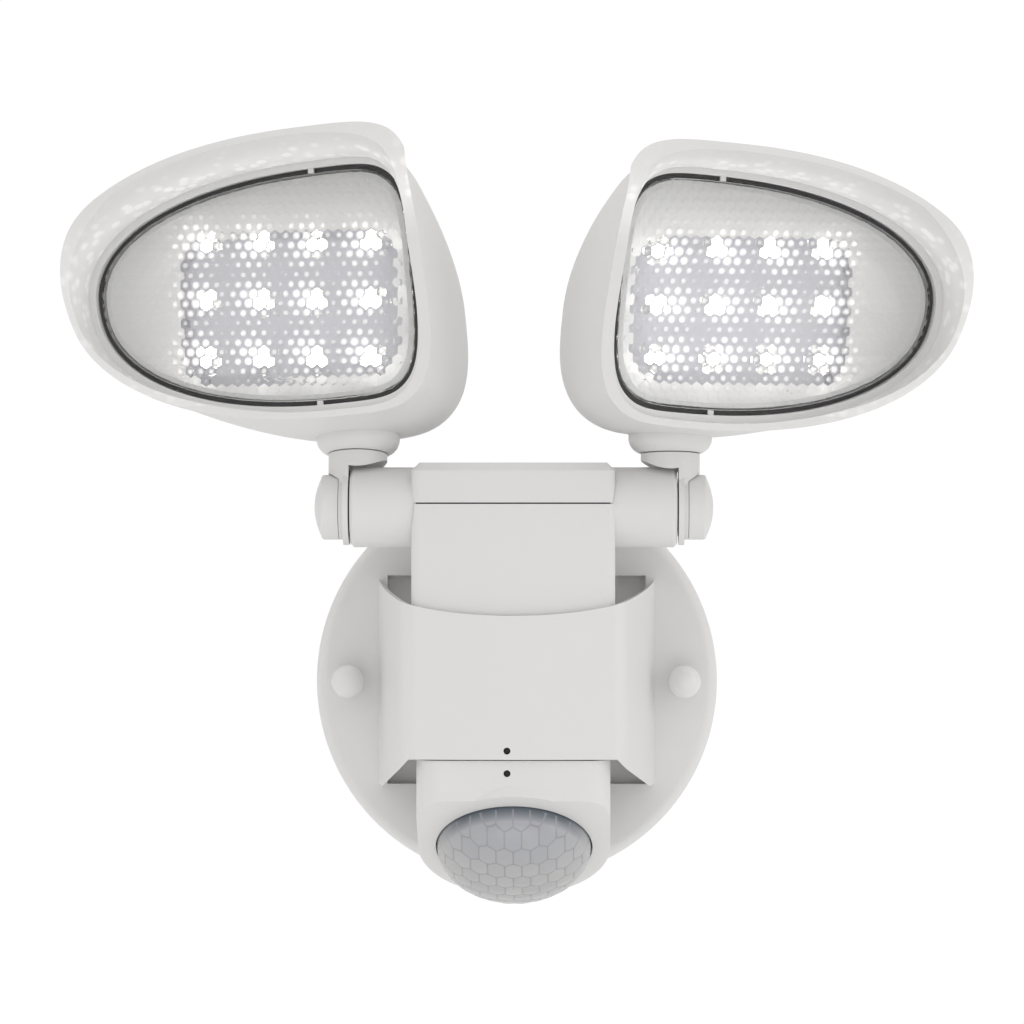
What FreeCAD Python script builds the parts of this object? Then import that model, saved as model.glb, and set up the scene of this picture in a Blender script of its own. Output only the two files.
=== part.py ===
"""Motion sensor security light: a round wall canopy with a tapered sleeve, a T-shaped arm, two tilting
and swivelling LED heads with visors, and a motion sensor that pans below the sleeve.

Millimetres. +Z is up, the wall is the plane y = 0 and the light stands out of it towards -Y. The origin
is the centre of the mounting plate's back face, which lies on the wall. Heads are built upright in their
own frame, where +X points outwards, +Z along the stem and -Y out of the lens, then placed on their joints.
"""
import FreeCAD
import Part
import math
import os

from FreeCAD import Vector

# ---------------------------------------------------------------- canopy and sleeve
canopy_depth = 14.0
canopy_wall = 2.5
canopy_edge_round = 3.0
gasket_thickness = 2.0
gasket_width = 5.0
gasket_inset = 0.5
gasket_plate_gap = 0.34        # from the plate's corners to the gasket
sleeve_reach = 62.0            # canopy face to the sleeve's front
sleeve_front_half = 30.4
sleeve_foot_half = 39.2
sleeve_wall = 2.4
sleeve_corner = 5.0
sleeve_bow = 1.6               # how far the front bulges
sleeve_top = 30.0
sleeve_scoop = 10.1            # how far the top edge dips at the centre
sleeve_bottom = 29.4
sleeve_lip = 19.2              # front lower edge, below the centre
sleeve_lip_half = 28.4
recess_depth = 4.5
recess_floor = 2.0
wire_hole_radius = 6.0
mark_radius = 0.95
mark_depth = 1.1
mark_offset = -1.6             # both marks sit a little left of the centre line
mark_gap_above_lip = 2.4
mark_gap_below_lip = 3.8

# ---------------------------------------------------------------- wall plate, studs and nuts
plate_thickness = 2.0
plate_arm_width = 17.0
plate_slot_edge = 2.15         # metal past the outer slots' ends
plate_hub_radius = 16.0
plate_centre_hole = 5.0
stud_edge = 2.975              # studs' axes, in from the plate's ends
stud_radius = 2.1
stud_set_in = 0.3              # the studs' ends, in from the plate's back face
stud_hole_clearance = 0.4
thread_clearance = 0.05
box_screw_spacing = 88.9
box_slot_length = 8.0
box_slot_half_width = 2.4
inner_slot_spacing = 69.85
nut_ball_radius = 4.7
nut_neck_radius = 3.5
nut_ball_height = 7.9          # the ball's centre above the canopy's face
stud_below_crown = 2.0         # the stud ends this far inside the ball's crown
stud_seal_radius = 4.0
stud_seal_thickness = 1.0

# ---------------------------------------------------------------- arm
arm_sleeve_gap = 0.2           # play in the sleeve, on each side
arm_half_depth = 13.3
arm_wall = 2.4
arm_corner = 2.6
arm_bow = 1.4
arm_split_above_tube = 0.9     # parting plane above the tube's axis
cover_top_above_tube = 12.2
cover_chamfer = 2.2
tube_radius = 11.0
tube_bore = 8.4
tube_end = 44.8                # from the centre plane to the tube's end face
tube_end_wall = 3.0
tube_chamfer = 0.9
tube_above_canopy = 49.4       # axis height above the canopy's centre
arm_front_gap = 0.3            # from the block's front to the sleeve's inner face
part_line = 0.4                # gap between the arm's two mouldings
foot_half_width = 16.0
foot_half_height = 12.0
screw_radius = 1.75
screw_head_radius = 3.2
screw_head_height = 2.0
screw_head_seat = 0.4          # heads sit this deep under the cover's top
cross_length = 3.4
cross_width = 0.7
cross_depth = 1.0
foot_screw_offset = 11.5
foot_screw_length = 14.0
foot_screw_short = 2.0         # a screw's tip stops this far before its hole's end
cover_screw_length = 12.0
cover_post_wall = 2.0
cover_post_inset = 4.0         # posts' axes from the side walls' inner faces
cover_post_set_in = 3.0        # and from the back wall's
driver_stand_off = 6.5         # board's back from the arm's back wall
driver_half_width = 21.0
driver_thickness = 1.6
driver_above_floor = 16.0
driver_below_split = 22.0
driver_post_radius = 2.0
driver_post_inset = 4.0
driver_post_rise = 2.5
transformer = (14.0, 10.4, 12.0)   # width, depth, height
capacitor_radius = 4.0
capacitor_length = 9.4
relay = (7.0, 6.4, 13.0)
terminal_block = (24.0, 4.4, 6.0)

# ---------------------------------------------------------------- tilt joint and elbow
stem_offset = 43.0             # stem axis from the centre plane
stem_radius = 8.1
stem_height = 14.6
stem_notch_radius = 12.9
disc_radius = 8.9
flange_radius = 10.4           # the disc's wider part, next to the tube
flange_width = 1.6
cap_at = 47.9                  # the disc's outer face and the cap's inner one
cap_end = 54.8
cap_rise = 3.9
cap_plug = 1.4
cap_socket_radius = 6.6
cap_plug_gap = 0.3
spigot_past_ring = 1.2         # the spigot runs on past its retaining ring
seam = 0.15                    # gap between pieces that meet in a plain joint
spigot_radius = 5.5
spigot_bore = 3.2
neck_radius = 6.5
neck_bore = 3.8
wireway_radius = 1.3
wireway_low = (5.6, 4.0)       # its ends: from the stem's axis, and up it
wireway_high = (2.4, 17.0)
pivot_clearance = 0.08
face_gap = 0.4
seal_thickness = 0.8
seal_proud = 0.15
seal_radius = 8.0
retainer_radius = 7.8
retainer_thickness = 1.4
retainer_gap = 0.3
swivel_ring_width = 2.6

# ---------------------------------------------------------------- lamp head, in its own frame
cup_gap = 0.3
cup_height = 4.3
cup_top_radius = 11.5
cup_foot_radius = 8.6
cup_boss_top = 26.0
neck_top = 30.0
head_pitch = 10.0              # the head's face looks this much lower than square to the stem
lens_nose = 66.0               # lens centre to its outer nose
lens_inner = 22.6
lens_up = 29.2
lens_down = 33.0
lens_centre_u = -2.0
lens_centre_v = 62.0
lens_tilt = -3.0
nose_power = 2.2
inner_power = 4.1
lens_plane = 28.0              # lens face in front of the stem's axis
lens_thickness = 2.4
lens_inset = 0.4
gasket_ring_width = 1.2
gasket_ring_gap = 0.05
gasket_ring_depth = 1.9
gasket_recess = 1.3
shell_grow = 4.6               # bezel width round the lens
shell_wall = 2.2
shell_back = -33.0
shell_nose_taper = 0.56
shell_top_taper = 0.29
shell_taper_power = 1.35
shell_drop = 19.8              # how far the back's centre sits below the lens's
visor_start = 6.0
visor_reach = 20.0
visor_grow_start = 4.6
visor_grow_nose = 9.0          # growth at full reach, past the lens's edge
visor_grow_inner = 11.0
visor_grow_up = 10.0
visor_grow_down = 1.5
visor_flare = 0.9              # how much the flare's middle lags behind a straight one
lens_gap = 1.0                 # from the lens's pocket to the bezel's inner edge
bezel_rise = 1.0               # how far the bezel's step stands in front of the lens
lens_back_gap = 1.0            # from the step that carries the gasket to the lens's back
key_width = 1.6                # tabs that bridge the gap at top and bottom
key_at = 4.5                   # their place from the lens's centre
key_back = 0.2                 # their face, behind the lens's
key_depth = 0.9
visor_wall = 1.8
visor_inner_extra = 1.4        # the wall is this much thicker on the inner side
step_depth = 4.0
rim_low = 2.8
rim_mid = 4.3
rim_high = 16.6
rim_slope = 0.10
rim_over = 3.2
led_columns = 4
led_rows = 3
led_edge_u = 8.8               # outer LEDs' centres, in from the board's edges
led_edge_v = 6.8
led_centre_u = 13.6
led_centre_v = 56.0
led_rise = 1.6                 # the LEDs' middle row, above the board's centre
led_size = 5.0
led_height = 1.6
board_width = 62.0
board_height = 40.0
board_thickness = 1.6
board_set_back = 14.0
reflector_wall = 1.2
reflector_gap = 0.3
tray_margin = 0.1
reflector_lift = 2.4           # above the LED board, clear of its screws
window_inset = 1.5             # the tray's window, in from the LED board's edges
window_power = 7.0
sink_inset = 2.0               # its inner end, in from the LED board's
sink_width = 46.0
sink_height = 28.0
sink_plate = 3.0
sink_fin = 8.0
sink_fins = 7
sink_fin_thickness = 1.6
post_radius = 2.8
post_inset = 3.0               # screw posts' axes, in from the LED board's edges
board_screw_length = 9.0
board_screw_head = 2.6

# ---------------------------------------------------------------- resting pose of the heads
left_lean = 11.0
right_lean = 4.3
left_yaw = 13.8
right_yaw = 17.0

# ---------------------------------------------------------------- motion sensor
sensor_half_width = 26.5
sensor_front_gap = 1.2         # behind the sleeve's front
sensor_top_gap = 0.3
sensor_corner = 7.0
sensor_wall = 2.2
ring_tilt = 55.0               # how far below the horizontal the sensor looks
ring_set_back = 21.0           # the ring's centre, behind the sleeve's front
ring_centre_drop = 44.4
barrel_length = 13.0
ring_width = 5.3               # white ring round the dome
dome_rise = 13.3
dome_wall = 1.0
dome_clearance = 0.45
dome_flange = 1.6
dome_flange_thickness = 1.2
pan_neck_radius = 9.0
pan_neck_bore = 6.5
pan_collar_radius = 10.4
pan_collar_thickness = 1.6
pan_neck_past_collar = 1.0
clamp_window = 10.5
clamp_thickness = 2.0
clamp_gap = 0.1                # from the dome's flange
clamp_side_gap = 0.3           # from the housing's side
sensor_board_margin = 12.9     # from the housing's side to the board
sensor_board_set_back = 12.3
sensor_board_thickness = 1.6
sensor_post_radius = 1.5
sensor_post_edge = 0.5
pir_radius = 4.6
pir_height = 5.0
pir_brim = 0.6
pir_brim_thickness = 0.8
dial_radius = 4.0
dial_height = 2.4
dial_offset = 9.0
switch_width = 4.0
switch_height = 4.0
switch_travel = 5.0
control_drop = 8.3            # below the sensor housing's top
control_clearance = 0.25
control_boss = 1.2
control_depth = 9.0            # the controls' outer faces, in front of their board
control_board_gap = 0.3
control_board_half_width = 16.0
control_board_half_height = 5.2
control_board_thickness = 1.6
dial_rim = 1.0
dial_shaft_radius = 1.5
dial_slot_half_length = 3.0
dial_slot_half_width = 0.5
dial_slot_depth = 0.9
rib_pitch = 1.4
rib_groove_half = 0.3
rib_groove_depth = 0.5

# ---------------------------------------------------------------- places worked out from the sizes above
plate_arm_half = box_screw_spacing / 2 + box_slot_length / 2 + plate_slot_edge
stud_spacing = 2 * (plate_arm_half - stud_edge)
gasket_inner = math.hypot(plate_arm_half, plate_arm_width / 2) + gasket_plate_gap
canopy_radius = gasket_inner + gasket_width + gasket_inset
canopy_back = -gasket_thickness
canopy_face = canopy_back - canopy_depth
arm_half_width = sleeve_front_half - sleeve_wall - arm_sleeve_gap
sleeve_front = canopy_face - sleeve_reach
tube_y = sleeve_front + sleeve_wall + arm_front_gap + arm_half_depth
tube_z = tube_above_canopy
arm_front = tube_y - arm_half_depth
arm_back = tube_y + arm_half_depth
split_z = tube_z + arm_split_above_tube
recess_y = canopy_face + recess_depth
arm_bottom = -sleeve_lip + sensor_top_gap
sensor_top = -sleeve_lip - sensor_top_gap
pan_y = tube_y
ring_y = sleeve_front + ring_set_back
ring_z = -ring_centre_drop
disc_x = tube_end + face_gap - stem_offset      # elbow's inner face, from the stem's axis
dome_radius = sensor_half_width - ring_width
sensor_board_radius = sensor_half_width - sensor_board_margin
led_pitch_u = (board_width - 2 * led_edge_u) / (led_columns - 1)
led_pitch_v = (board_height - 2 * led_edge_v) / (led_rows - 1)
cover_post_x = arm_half_width - arm_wall - cover_post_inset
cover_post_y = arm_back - arm_wall - cover_post_set_in

X = Vector(1, 0, 0)
Y = Vector(0, 1, 0)
Z = Vector(0, 0, 1)
BIG = 400.0


def box(x0, x1, y0, y1, z0, z1):
    return Part.makeBox(x1 - x0, y1 - y0, z1 - z0, Vector(x0, y0, z0))


def rod(radius, start, end):
    """A cylinder from one point to another."""
    along = end - start
    return Part.makeCylinder(radius, along.Length, start, along)


def ring(outer, inner, start, end):
    return rod(outer, start, end).cut(rod(inner, start, end))


def extruded(points, direction):
    """A prism on a closed polygon; an entry that is a (middle, end) pair is an arc from the last point."""
    edges = []
    last = points[0]
    for item in points[1:]:
        if isinstance(item, tuple):
            edges.append(Part.Arc(last, item[0], item[1]).toShape())
            last = item[1]
        else:
            edges.append(Part.LineSegment(last, item).toShape())
            last = item
    edges.append(Part.LineSegment(last, points[0]).toShape())
    return Part.Face(Part.Wire(edges)).extrude(direction)


def upright_edges(shape, y_low, y_high):
    """The edges that run along Z between two depths."""
    found = []
    for edge in shape.Edges:
        a, b = edge.Vertexes[0].Point, edge.Vertexes[-1].Point
        if abs(a.x - b.x) < 1e-6 and abs(a.y - b.y) < 1e-6 and abs(a.z - b.z) > 1.0:
            if y_low <= a.y <= y_high:
                found.append(edge)
    return found


def bowed_block(half_width, y_front, y_back, bow, z0, z1, corner):
    """A block whose front bulges by bow, with its two front uprights rounded."""
    block = extruded([
        Vector(-half_width, y_back, z0),
        Vector(-half_width, y_front + bow, z0),
        (Vector(0, y_front, z0), Vector(half_width, y_front + bow, z0)),
        Vector(half_width, y_back, z0),
    ], Vector(0, 0, z1 - z0))
    return block.makeFillet(corner, upright_edges(block, y_front - 1.0, y_front + bow + 0.5))


def largest(shape):
    """The main solid of a cut."""
    return max(shape.Solids, key=lambda s: s.Volume)


# ---------------------------------------------------------------- canopy, with its sleeve
def sleeve_block(inset, z0, z1):
    """The sleeve's plan, narrower towards the front, drawn inset by a wall's thickness."""
    foot = sleeve_foot_half - inset
    front = sleeve_front_half - inset
    y_front = sleeve_front + inset
    block = extruded([
        Vector(-foot, canopy_face, z0),
        Vector(-front, y_front + sleeve_bow, z0),
        (Vector(0, y_front, z0), Vector(front, y_front + sleeve_bow, z0)),
        Vector(foot, canopy_face, z0),
    ], Vector(0, 0, z1 - z0))
    corners = upright_edges(block, y_front - 1, y_front + sleeve_bow + 1)
    return block.makeFillet(sleeve_corner - inset, corners)


def canopy():
    outside = rod(canopy_radius, Vector(0, canopy_back, 0), Vector(0, canopy_face, 0))
    front_rim = [e for e in outside.Edges if e.Curve.TypeId == "Part::GeomCircle"
                 and abs(e.CenterOfMass.y - canopy_face) < 1e-3]
    outside = outside.makeFillet(canopy_edge_round, front_rim)
    hollow = rod(canopy_radius - canopy_wall, Vector(0, canopy_back, 0),
                 Vector(0, canopy_face + canopy_wall, 0))
    tray_half = sleeve_foot_half
    tray = box(-tray_half, tray_half, canopy_face + canopy_wall, recess_y + recess_floor,
               -sleeve_bottom - sleeve_wall, sleeve_top + sleeve_wall)
    body = outside.cut(hollow).fuse(tray)
    body = body.fuse(sleeve_block(0, -sleeve_bottom, sleeve_top))
    tunnel = sleeve_block(sleeve_wall, -sleeve_bottom - 1, sleeve_top + 1)
    room_half = sleeve_foot_half - sleeve_wall
    room = box(-room_half, room_half, canopy_face, recess_y, -sleeve_bottom, sleeve_top)
    body = body.cut(tunnel.fuse(room))
    body = body.cut(top_scoop()).cut(bottom_notch())
    body = body.cut(rod(wire_hole_radius, Vector(0, recess_y - 1, 0), Vector(0, canopy_back, 0)))
    for side in (-1, 1):
        stud = Vector(side * stud_spacing / 2, 0, 0)
        body = body.cut(rod(stud_radius + stud_hole_clearance, stud + Y * canopy_face, stud))
        hole = Vector(side * foot_screw_offset, 0, 0)
        body = body.cut(rod(screw_radius + stud_hole_clearance, hole + Y * (recess_y - 1), hole))
    mark = Vector(mark_offset, sleeve_front, -sleeve_lip + mark_gap_above_lip)
    return body.cut(rod(mark_radius, mark - Y, mark + Y * mark_depth))


def top_scoop():
    """Everything above the sleeve's dipping top edge: half an ellipse seen from the front."""
    half = sleeve_foot_half + 0.3
    flat = Part.Ellipse(Vector(0, canopy_face + 0.01, sleeve_top), half, sleeve_scoop)
    flat.Axis = Y
    edge = flat.toShape()
    return Part.Face(Part.Wire(edge)).extrude(Vector(0, -sleeve_reach - 20, 0))


def bottom_notch():
    """The lower edge: level at the front lip, then slanting down to the canopy at each side."""
    y = canopy_face + 0.01
    wide = sleeve_foot_half - sleeve_wall + 1.0
    return extruded([
        Vector(-sleeve_lip_half, y, -sleeve_lip),
        Vector(sleeve_lip_half, y, -sleeve_lip),
        Vector(wide, y, -sleeve_bottom),
        Vector(wide, y, -sleeve_bottom - 5),
        Vector(-wide, y, -sleeve_bottom - 5),
        Vector(-wide, y, -sleeve_bottom),
    ], Vector(0, -sleeve_reach - 20, 0))


def wall_gasket():
    outer = canopy_radius - gasket_inset
    return ring(outer, outer - gasket_width, Vector(0, 0, 0), Vector(0, canopy_back, 0))


# ---------------------------------------------------------------- wall plate and its fixings
def slot(spacing, length, half_width):
    """A pair of slots along Z, centred on plus and minus half the spacing."""
    straight = length / 2 - half_width
    pair = []
    for side in (-1, 1):
        z = side * spacing / 2
        middle = box(-half_width, half_width, -plate_thickness - 1, 1, z - straight, z + straight)
        for end in (-straight, straight):
            low, high = Vector(0, -plate_thickness - 1, z + end), Vector(0, 1, z + end)
            middle = middle.fuse(rod(half_width, low, high))
        pair.append(middle)
    return pair[0].fuse(pair[1])


def mounting_plate():
    half = plate_arm_width / 2
    plate = box(-plate_arm_half, plate_arm_half, -plate_thickness, 0, -half, half)
    plate = plate.fuse(box(-half, half, -plate_thickness, 0, -plate_arm_half, plate_arm_half))
    plate = plate.fuse(rod(plate_hub_radius, Vector(0, -plate_thickness, 0), Vector(0, 0, 0)))
    plate = plate.cut(rod(plate_centre_hole, Vector(0, -plate_thickness, 0), Vector(0, 0, 0)))
    plate = plate.cut(slot(box_screw_spacing, box_slot_length, box_slot_half_width))
    plate = plate.cut(slot(inner_slot_spacing, box_slot_length, box_slot_half_width))
    for side in (-1, 1):
        hole = Vector(side * stud_spacing / 2, 0, 0)
        plate = plate.cut(rod(stud_radius + thread_clearance, hole - Y * plate_thickness, hole))
    return plate.removeSplitter()


def mounting_studs():
    studs = []
    tip = canopy_face - nut_ball_height - nut_ball_radius + stud_below_crown + seam
    for side in (-1, 1):
        x = side * stud_spacing / 2
        studs.append(rod(stud_radius, Vector(x, -stud_set_in, 0), Vector(x, tip, 0)))
    return studs


def cap_nuts():
    """Ball-ended nuts: a ball on a short round neck, bored from the back."""
    nuts = []
    for side in (-1, 1):
        seat = Vector(side * stud_spacing / 2, canopy_face, 0)
        centre = seat - Y * nut_ball_height
        nut = rod(nut_neck_radius, seat, centre).fuse(Part.makeSphere(nut_ball_radius, centre))
        bore_end = centre - Y * (nut_ball_radius - stud_below_crown)
        nuts.append(nut.cut(rod(stud_radius + thread_clearance, seat, bore_end)).removeSplitter())
    return nuts


def stud_seals():
    """Rubber washers on the studs, behind the canopy's face."""
    back = canopy_face + canopy_wall
    seals = []
    for side in (-1, 1):
        x = side * stud_spacing / 2
        seals.append(ring(stud_seal_radius, stud_radius + thread_clearance,
                          Vector(x, back, 0), Vector(x, back + stud_seal_thickness, 0)))
    return seals


# ---------------------------------------------------------------- arm mouldings
def arm_outline(z0, z1, inset=0.0):
    half = arm_half_width - inset
    return bowed_block(half, arm_front + inset, arm_back - inset, arm_bow, z0, z1, arm_corner - inset / 2)


def tube(side, start):
    """One round arm: bored, with an end wall that carries the tilt joint."""
    a = Vector(side * start, tube_y, tube_z)
    b = Vector(side * tube_end, tube_y, tube_z)
    body = rod(tube_radius, a, b)
    rim = [e for e in body.Edges if e.Curve.TypeId == "Part::GeomCircle"
           and abs(e.CenterOfMass.x - b.x) < 1e-3]
    body = body.makeChamfer(tube_chamfer, rim)
    inner_end = Vector(side * (tube_end - tube_end_wall), tube_y, tube_z)
    body = body.cut(rod(tube_bore, a, inner_end))
    return body.cut(rod(spigot_radius + pivot_clearance, a, b))


def half_bore(side, radius):
    """The round gap that one moulding leaves for the other's tube."""
    return rod(radius, Vector(side * (arm_half_width - arm_wall - 1), tube_y, tube_z),
               Vector(side * (arm_half_width + 1), tube_y, tube_z))


def arm_body():
    """Front block, hollow and open at the top, with the right-hand tube and the foot on the canopy."""
    block = arm_outline(arm_bottom, split_z)
    hollow = arm_outline(arm_bottom + arm_wall, split_z + 1, arm_wall)
    body = block.cut(hollow)
    foot = box(-foot_half_width, foot_half_width, arm_back - arm_wall, recess_y,
               -foot_half_height, foot_half_height)
    body = body.fuse(foot.cut(block))
    body = body.cut(rod(wire_hole_radius, Vector(0, arm_back - arm_wall - 1, 0),
                        Vector(0, recess_y + 1, 0)))
    for side in (-1, 1):
        x = side * foot_screw_offset
        body = body.cut(rod(screw_radius + thread_clearance, Vector(x, recess_y, 0),
                            Vector(x, recess_y - foot_screw_length, 0)))
        post_z = split_z - cover_screw_length - 1
        post_x = side * cover_post_x
        post = rod(screw_radius + cover_post_wall, Vector(post_x, cover_post_y, post_z),
                   Vector(post_x, cover_post_y, split_z))
        body = body.fuse(post.common(block))
        body = body.cut(rod(screw_radius + thread_clearance, Vector(post_x, cover_post_y, post_z + 1),
                            Vector(post_x, cover_post_y, split_z + 1)))
    right = tube(1, arm_half_width - arm_wall)
    body = body.cut(half_bore(1, tube_bore)).fuse(right)
    body = body.cut(half_bore(-1, tube_radius + part_line))
    neck = rod(pan_neck_radius + pivot_clearance, Vector(0, pan_y, arm_bottom - 1),
               Vector(0, pan_y, arm_bottom + arm_wall + 1))
    return body.cut(neck).removeSplitter()


def arm_cover():
    """Top bar over the tubes, with the left-hand tube."""
    z1 = tube_z + cover_top_above_tube
    z0 = split_z + part_line
    block = arm_outline(z0, z1)
    top = [e for e in block.Edges
           if abs(e.BoundBox.ZMin - z1) < 1e-3 and abs(e.BoundBox.ZMax - z1) < 1e-3]
    block = block.makeChamfer(cover_chamfer, top)
    hollow = arm_outline(z0 - 1, z1 - arm_wall, arm_wall)
    body = block.cut(hollow)
    left = tube(-1, arm_half_width - arm_wall)
    body = body.cut(half_bore(-1, tube_bore)).fuse(left)
    body = body.cut(half_bore(1, tube_radius + part_line))
    for side in (-1, 1):
        x, y = side * cover_post_x, cover_post_y
        post = rod(screw_radius + cover_post_wall, Vector(x, y, z0), Vector(x, y, z1 - 1)).common(block)
        body = body.fuse(post)
        body = body.cut(rod(screw_radius + thread_clearance, Vector(x, y, z0 - 1), Vector(x, y, z1 + 1)))
        seat = z1 - screw_head_height - screw_head_seat
        body = body.cut(rod(screw_head_radius + thread_clearance, Vector(x, y, seat), Vector(x, y, z1 + 1)))
    return body.removeSplitter()


def pan_screw(head_at, tip_at, head_radius=screw_head_radius):
    """A cross-head screw: round head, shank and a cross recess. Its head sits beyond head_at."""
    along = (tip_at - head_at).normalize()
    head_top = head_at - along * screw_head_height
    screw = rod(head_radius, head_top, head_at).fuse(rod(screw_radius, head_at, tip_at))
    side = along.cross(Z if abs(along.z) < 0.5 else X).normalize()
    other = along.cross(side)
    for a in (side, other):
        b = along.cross(a)
        cross = Part.makeBox(cross_length, cross_width, cross_depth)
        cross.Placement = FreeCAD.Placement(head_top - a * (cross_length / 2) - b * (cross_width / 2),
                                            FreeCAD.Rotation(a, b, along, "XYZ"))
        screw = screw.cut(cross)
    return screw.removeSplitter()


def cover_screws():
    z = tube_z + cover_top_above_tube - screw_head_height - screw_head_seat
    tip_z = z - cover_screw_length
    return [pan_screw(Vector(x, cover_post_y, z), Vector(x, cover_post_y, tip_z))
            for x in (-cover_post_x, cover_post_x)]


def foot_screws():
    seat = recess_y + recess_floor
    tip = recess_y - foot_screw_length + foot_screw_short
    return [pan_screw(Vector(s * foot_screw_offset, seat, 0), Vector(s * foot_screw_offset, tip, 0))
            for s in (-1, 1)]


def driver_board():
    """The LED driver inside the arm: a board with a transformer, a capacitor and a relay."""
    wall = arm_back - arm_wall
    y = wall - driver_stand_off
    face = y - driver_thickness
    z0, z1 = arm_bottom + driver_above_floor, split_z - driver_below_split
    half = driver_half_width
    board = box(-half, half, face, y, z0, z1)

    def standing(size, x, z):
        """A block on the board, from its lower left corner."""
        width, depth, height = size
        return box(x, x + width, face - depth, face, z, z + height)

    can = Vector(half * 2 / 7, face, z0 + 2 * capacitor_radius)
    parts = [
        standing(transformer, -half * 6 / 7, z0 + 4),
        rod(capacitor_radius, can, can - Y * capacitor_length),
        standing(relay, half * 4 / 7, z0 + 3),
        standing(terminal_block, -terminal_block[0] / 2, z1 - 8),
    ]
    for piece in parts:
        board = board.fuse(piece)
    for side in (-1, 1):
        post = Vector(side * (half - driver_post_inset), y, z0 + driver_post_rise)
        board = board.fuse(rod(driver_post_radius, post, post + Y * driver_stand_off))
    return board.removeSplitter()


# ---------------------------------------------------------------- elbow, in the head's frame without yaw
def elbow():
    """Stem, notched over the tube, on a disc that turns on the tube's end face. The cap's socket and a
    slanted wireway join the tilt spigot's bore to the neck's."""
    stem = rod(stem_radius, Vector(0, 0, 0), Z * stem_height)
    stem = stem.cut(rod(stem_notch_radius, Vector(-BIG / 10, 0, 0), Vector(disc_x, 0, 0)))
    stem = stem.cut(rod(disc_radius + part_line, Vector(cap_x(), 0, 0), Vector(BIG / 10, 0, 0)))
    body = stem.fuse(rod(disc_radius, Vector(disc_x, 0, 0), Vector(cap_x(), 0, 0)))
    body = body.fuse(rod(flange_radius, Vector(disc_x, 0, 0), Vector(disc_x + flange_width, 0, 0)))
    body = body.fuse(rod(neck_radius, Z * (stem_height - 1), Z * neck_top))
    body = body.fuse(rod(spigot_radius, Vector(spigot_tip(), 0, 0), Vector(disc_x + 1, 0, 0)))
    body = body.cut(ring(seal_radius + part_line / 2, spigot_radius, Vector(disc_x - 1, 0, 0),
                         Vector(disc_x + seal_thickness - seal_proud, 0, 0)))
    body = body.cut(rod(neck_bore, Z * (stem_height - 0.6), Z * (neck_top + 1)))
    body = body.cut(rod(spigot_bore, Vector(spigot_tip() - 1, 0, 0), Vector(cap_x(), 0, 0)))
    body = body.cut(rod(cap_socket_radius, Vector(cap_x() - cap_plug, 0, 0), Vector(cap_x() + 1, 0, 0)))
    body = body.cut(rod(wireway_radius, Vector(wireway_low[0], 0, wireway_low[1]),
                        Vector(wireway_high[0], 0, wireway_high[1])))
    return largest(body)


def cap_x():
    """Inner face of the pivot cap, from the stem's axis."""
    return cap_at - stem_offset


def spigot_tip():
    """Inner end of the tilt spigot, from the stem's axis: past the end wall and the retaining ring."""
    return tube_end - tube_end_wall - retainer_gap - retainer_thickness - spigot_past_ring - stem_offset


def tilt_seal():
    x = disc_x - seal_proud
    return ring(seal_radius, spigot_radius + thread_clearance, Vector(x, 0, 0),
                Vector(x + seal_thickness, 0, 0))


def tilt_retainer():
    x = tube_end - tube_end_wall - retainer_gap - stem_offset
    return ring(retainer_radius, spigot_radius + thread_clearance, Vector(x - retainer_thickness, 0, 0),
                Vector(x, 0, 0))


def pivot_cap():
    """Domed cap on the outside of the elbow, with a plug that fits its socket."""
    end = cap_end - stem_offset
    dome = (disc_radius ** 2 + cap_rise ** 2) / (2 * cap_rise)
    ball = Part.makeSphere(dome, Vector(end - dome, 0, 0))
    cap = ball.common(rod(disc_radius, Vector(end - cap_rise, 0, 0), Vector(end + 1, 0, 0)))
    cap = cap.fuse(rod(disc_radius, Vector(cap_x() + seam, 0, 0), Vector(end - cap_rise, 0, 0)))
    plug_end = Vector(cap_x() - cap_plug + cap_plug_gap, 0, 0)
    plug = rod(cap_socket_radius - thread_clearance, plug_end, Vector(cap_x() + seam + 1, 0, 0))
    return cap.fuse(plug).removeSplitter()


def swivel_retainer():
    z = cup_boss_top + retainer_gap
    return ring(neck_radius + swivel_ring_width, neck_radius + thread_clearance, Z * z,
                Z * (z + retainer_thickness))


# ---------------------------------------------------------------- lamp head
shell_steps = (0.2, 0.4, 0.58, 0.74, 0.87, 0.95, 0.985)


def egg(nose, inner, up, down, centre_u, centre_v, w, power_nose=nose_power, power_inner=inner_power,
        tilt=lens_tilt):
    """A closed egg in a plane parallel to the lens: half-lengths to the nose, inner side, top and bottom.
    Each half is a superellipse, rounder at the nose and squarer on the inner side."""
    count = 40
    points = []
    turn = math.radians(tilt)
    for i in range(count):
        t = 2 * math.pi * i / count
        c, s = math.cos(t), math.sin(t)
        a = nose if c > 0 else inner
        b = up if s > 0 else down
        n = power_nose if c > 0 else power_inner
        r = (abs(c / a) ** n + abs(s / b) ** n) ** (-1.0 / n)
        u, v = r * c, r * s
        points.append(Vector(centre_u + u * math.cos(turn) - v * math.sin(turn), -w,
                             centre_v + u * math.sin(turn) + v * math.cos(turn)))
    curve = Part.BSplineCurve()
    curve.interpolate(Points=points, PeriodicFlag=True)
    return Part.Wire(curve.toShape())


def lens_egg(grow, w):
    return egg(lens_nose + grow, lens_inner + grow, lens_up + grow, lens_down + grow,
               lens_centre_u, lens_centre_v, w)


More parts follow.
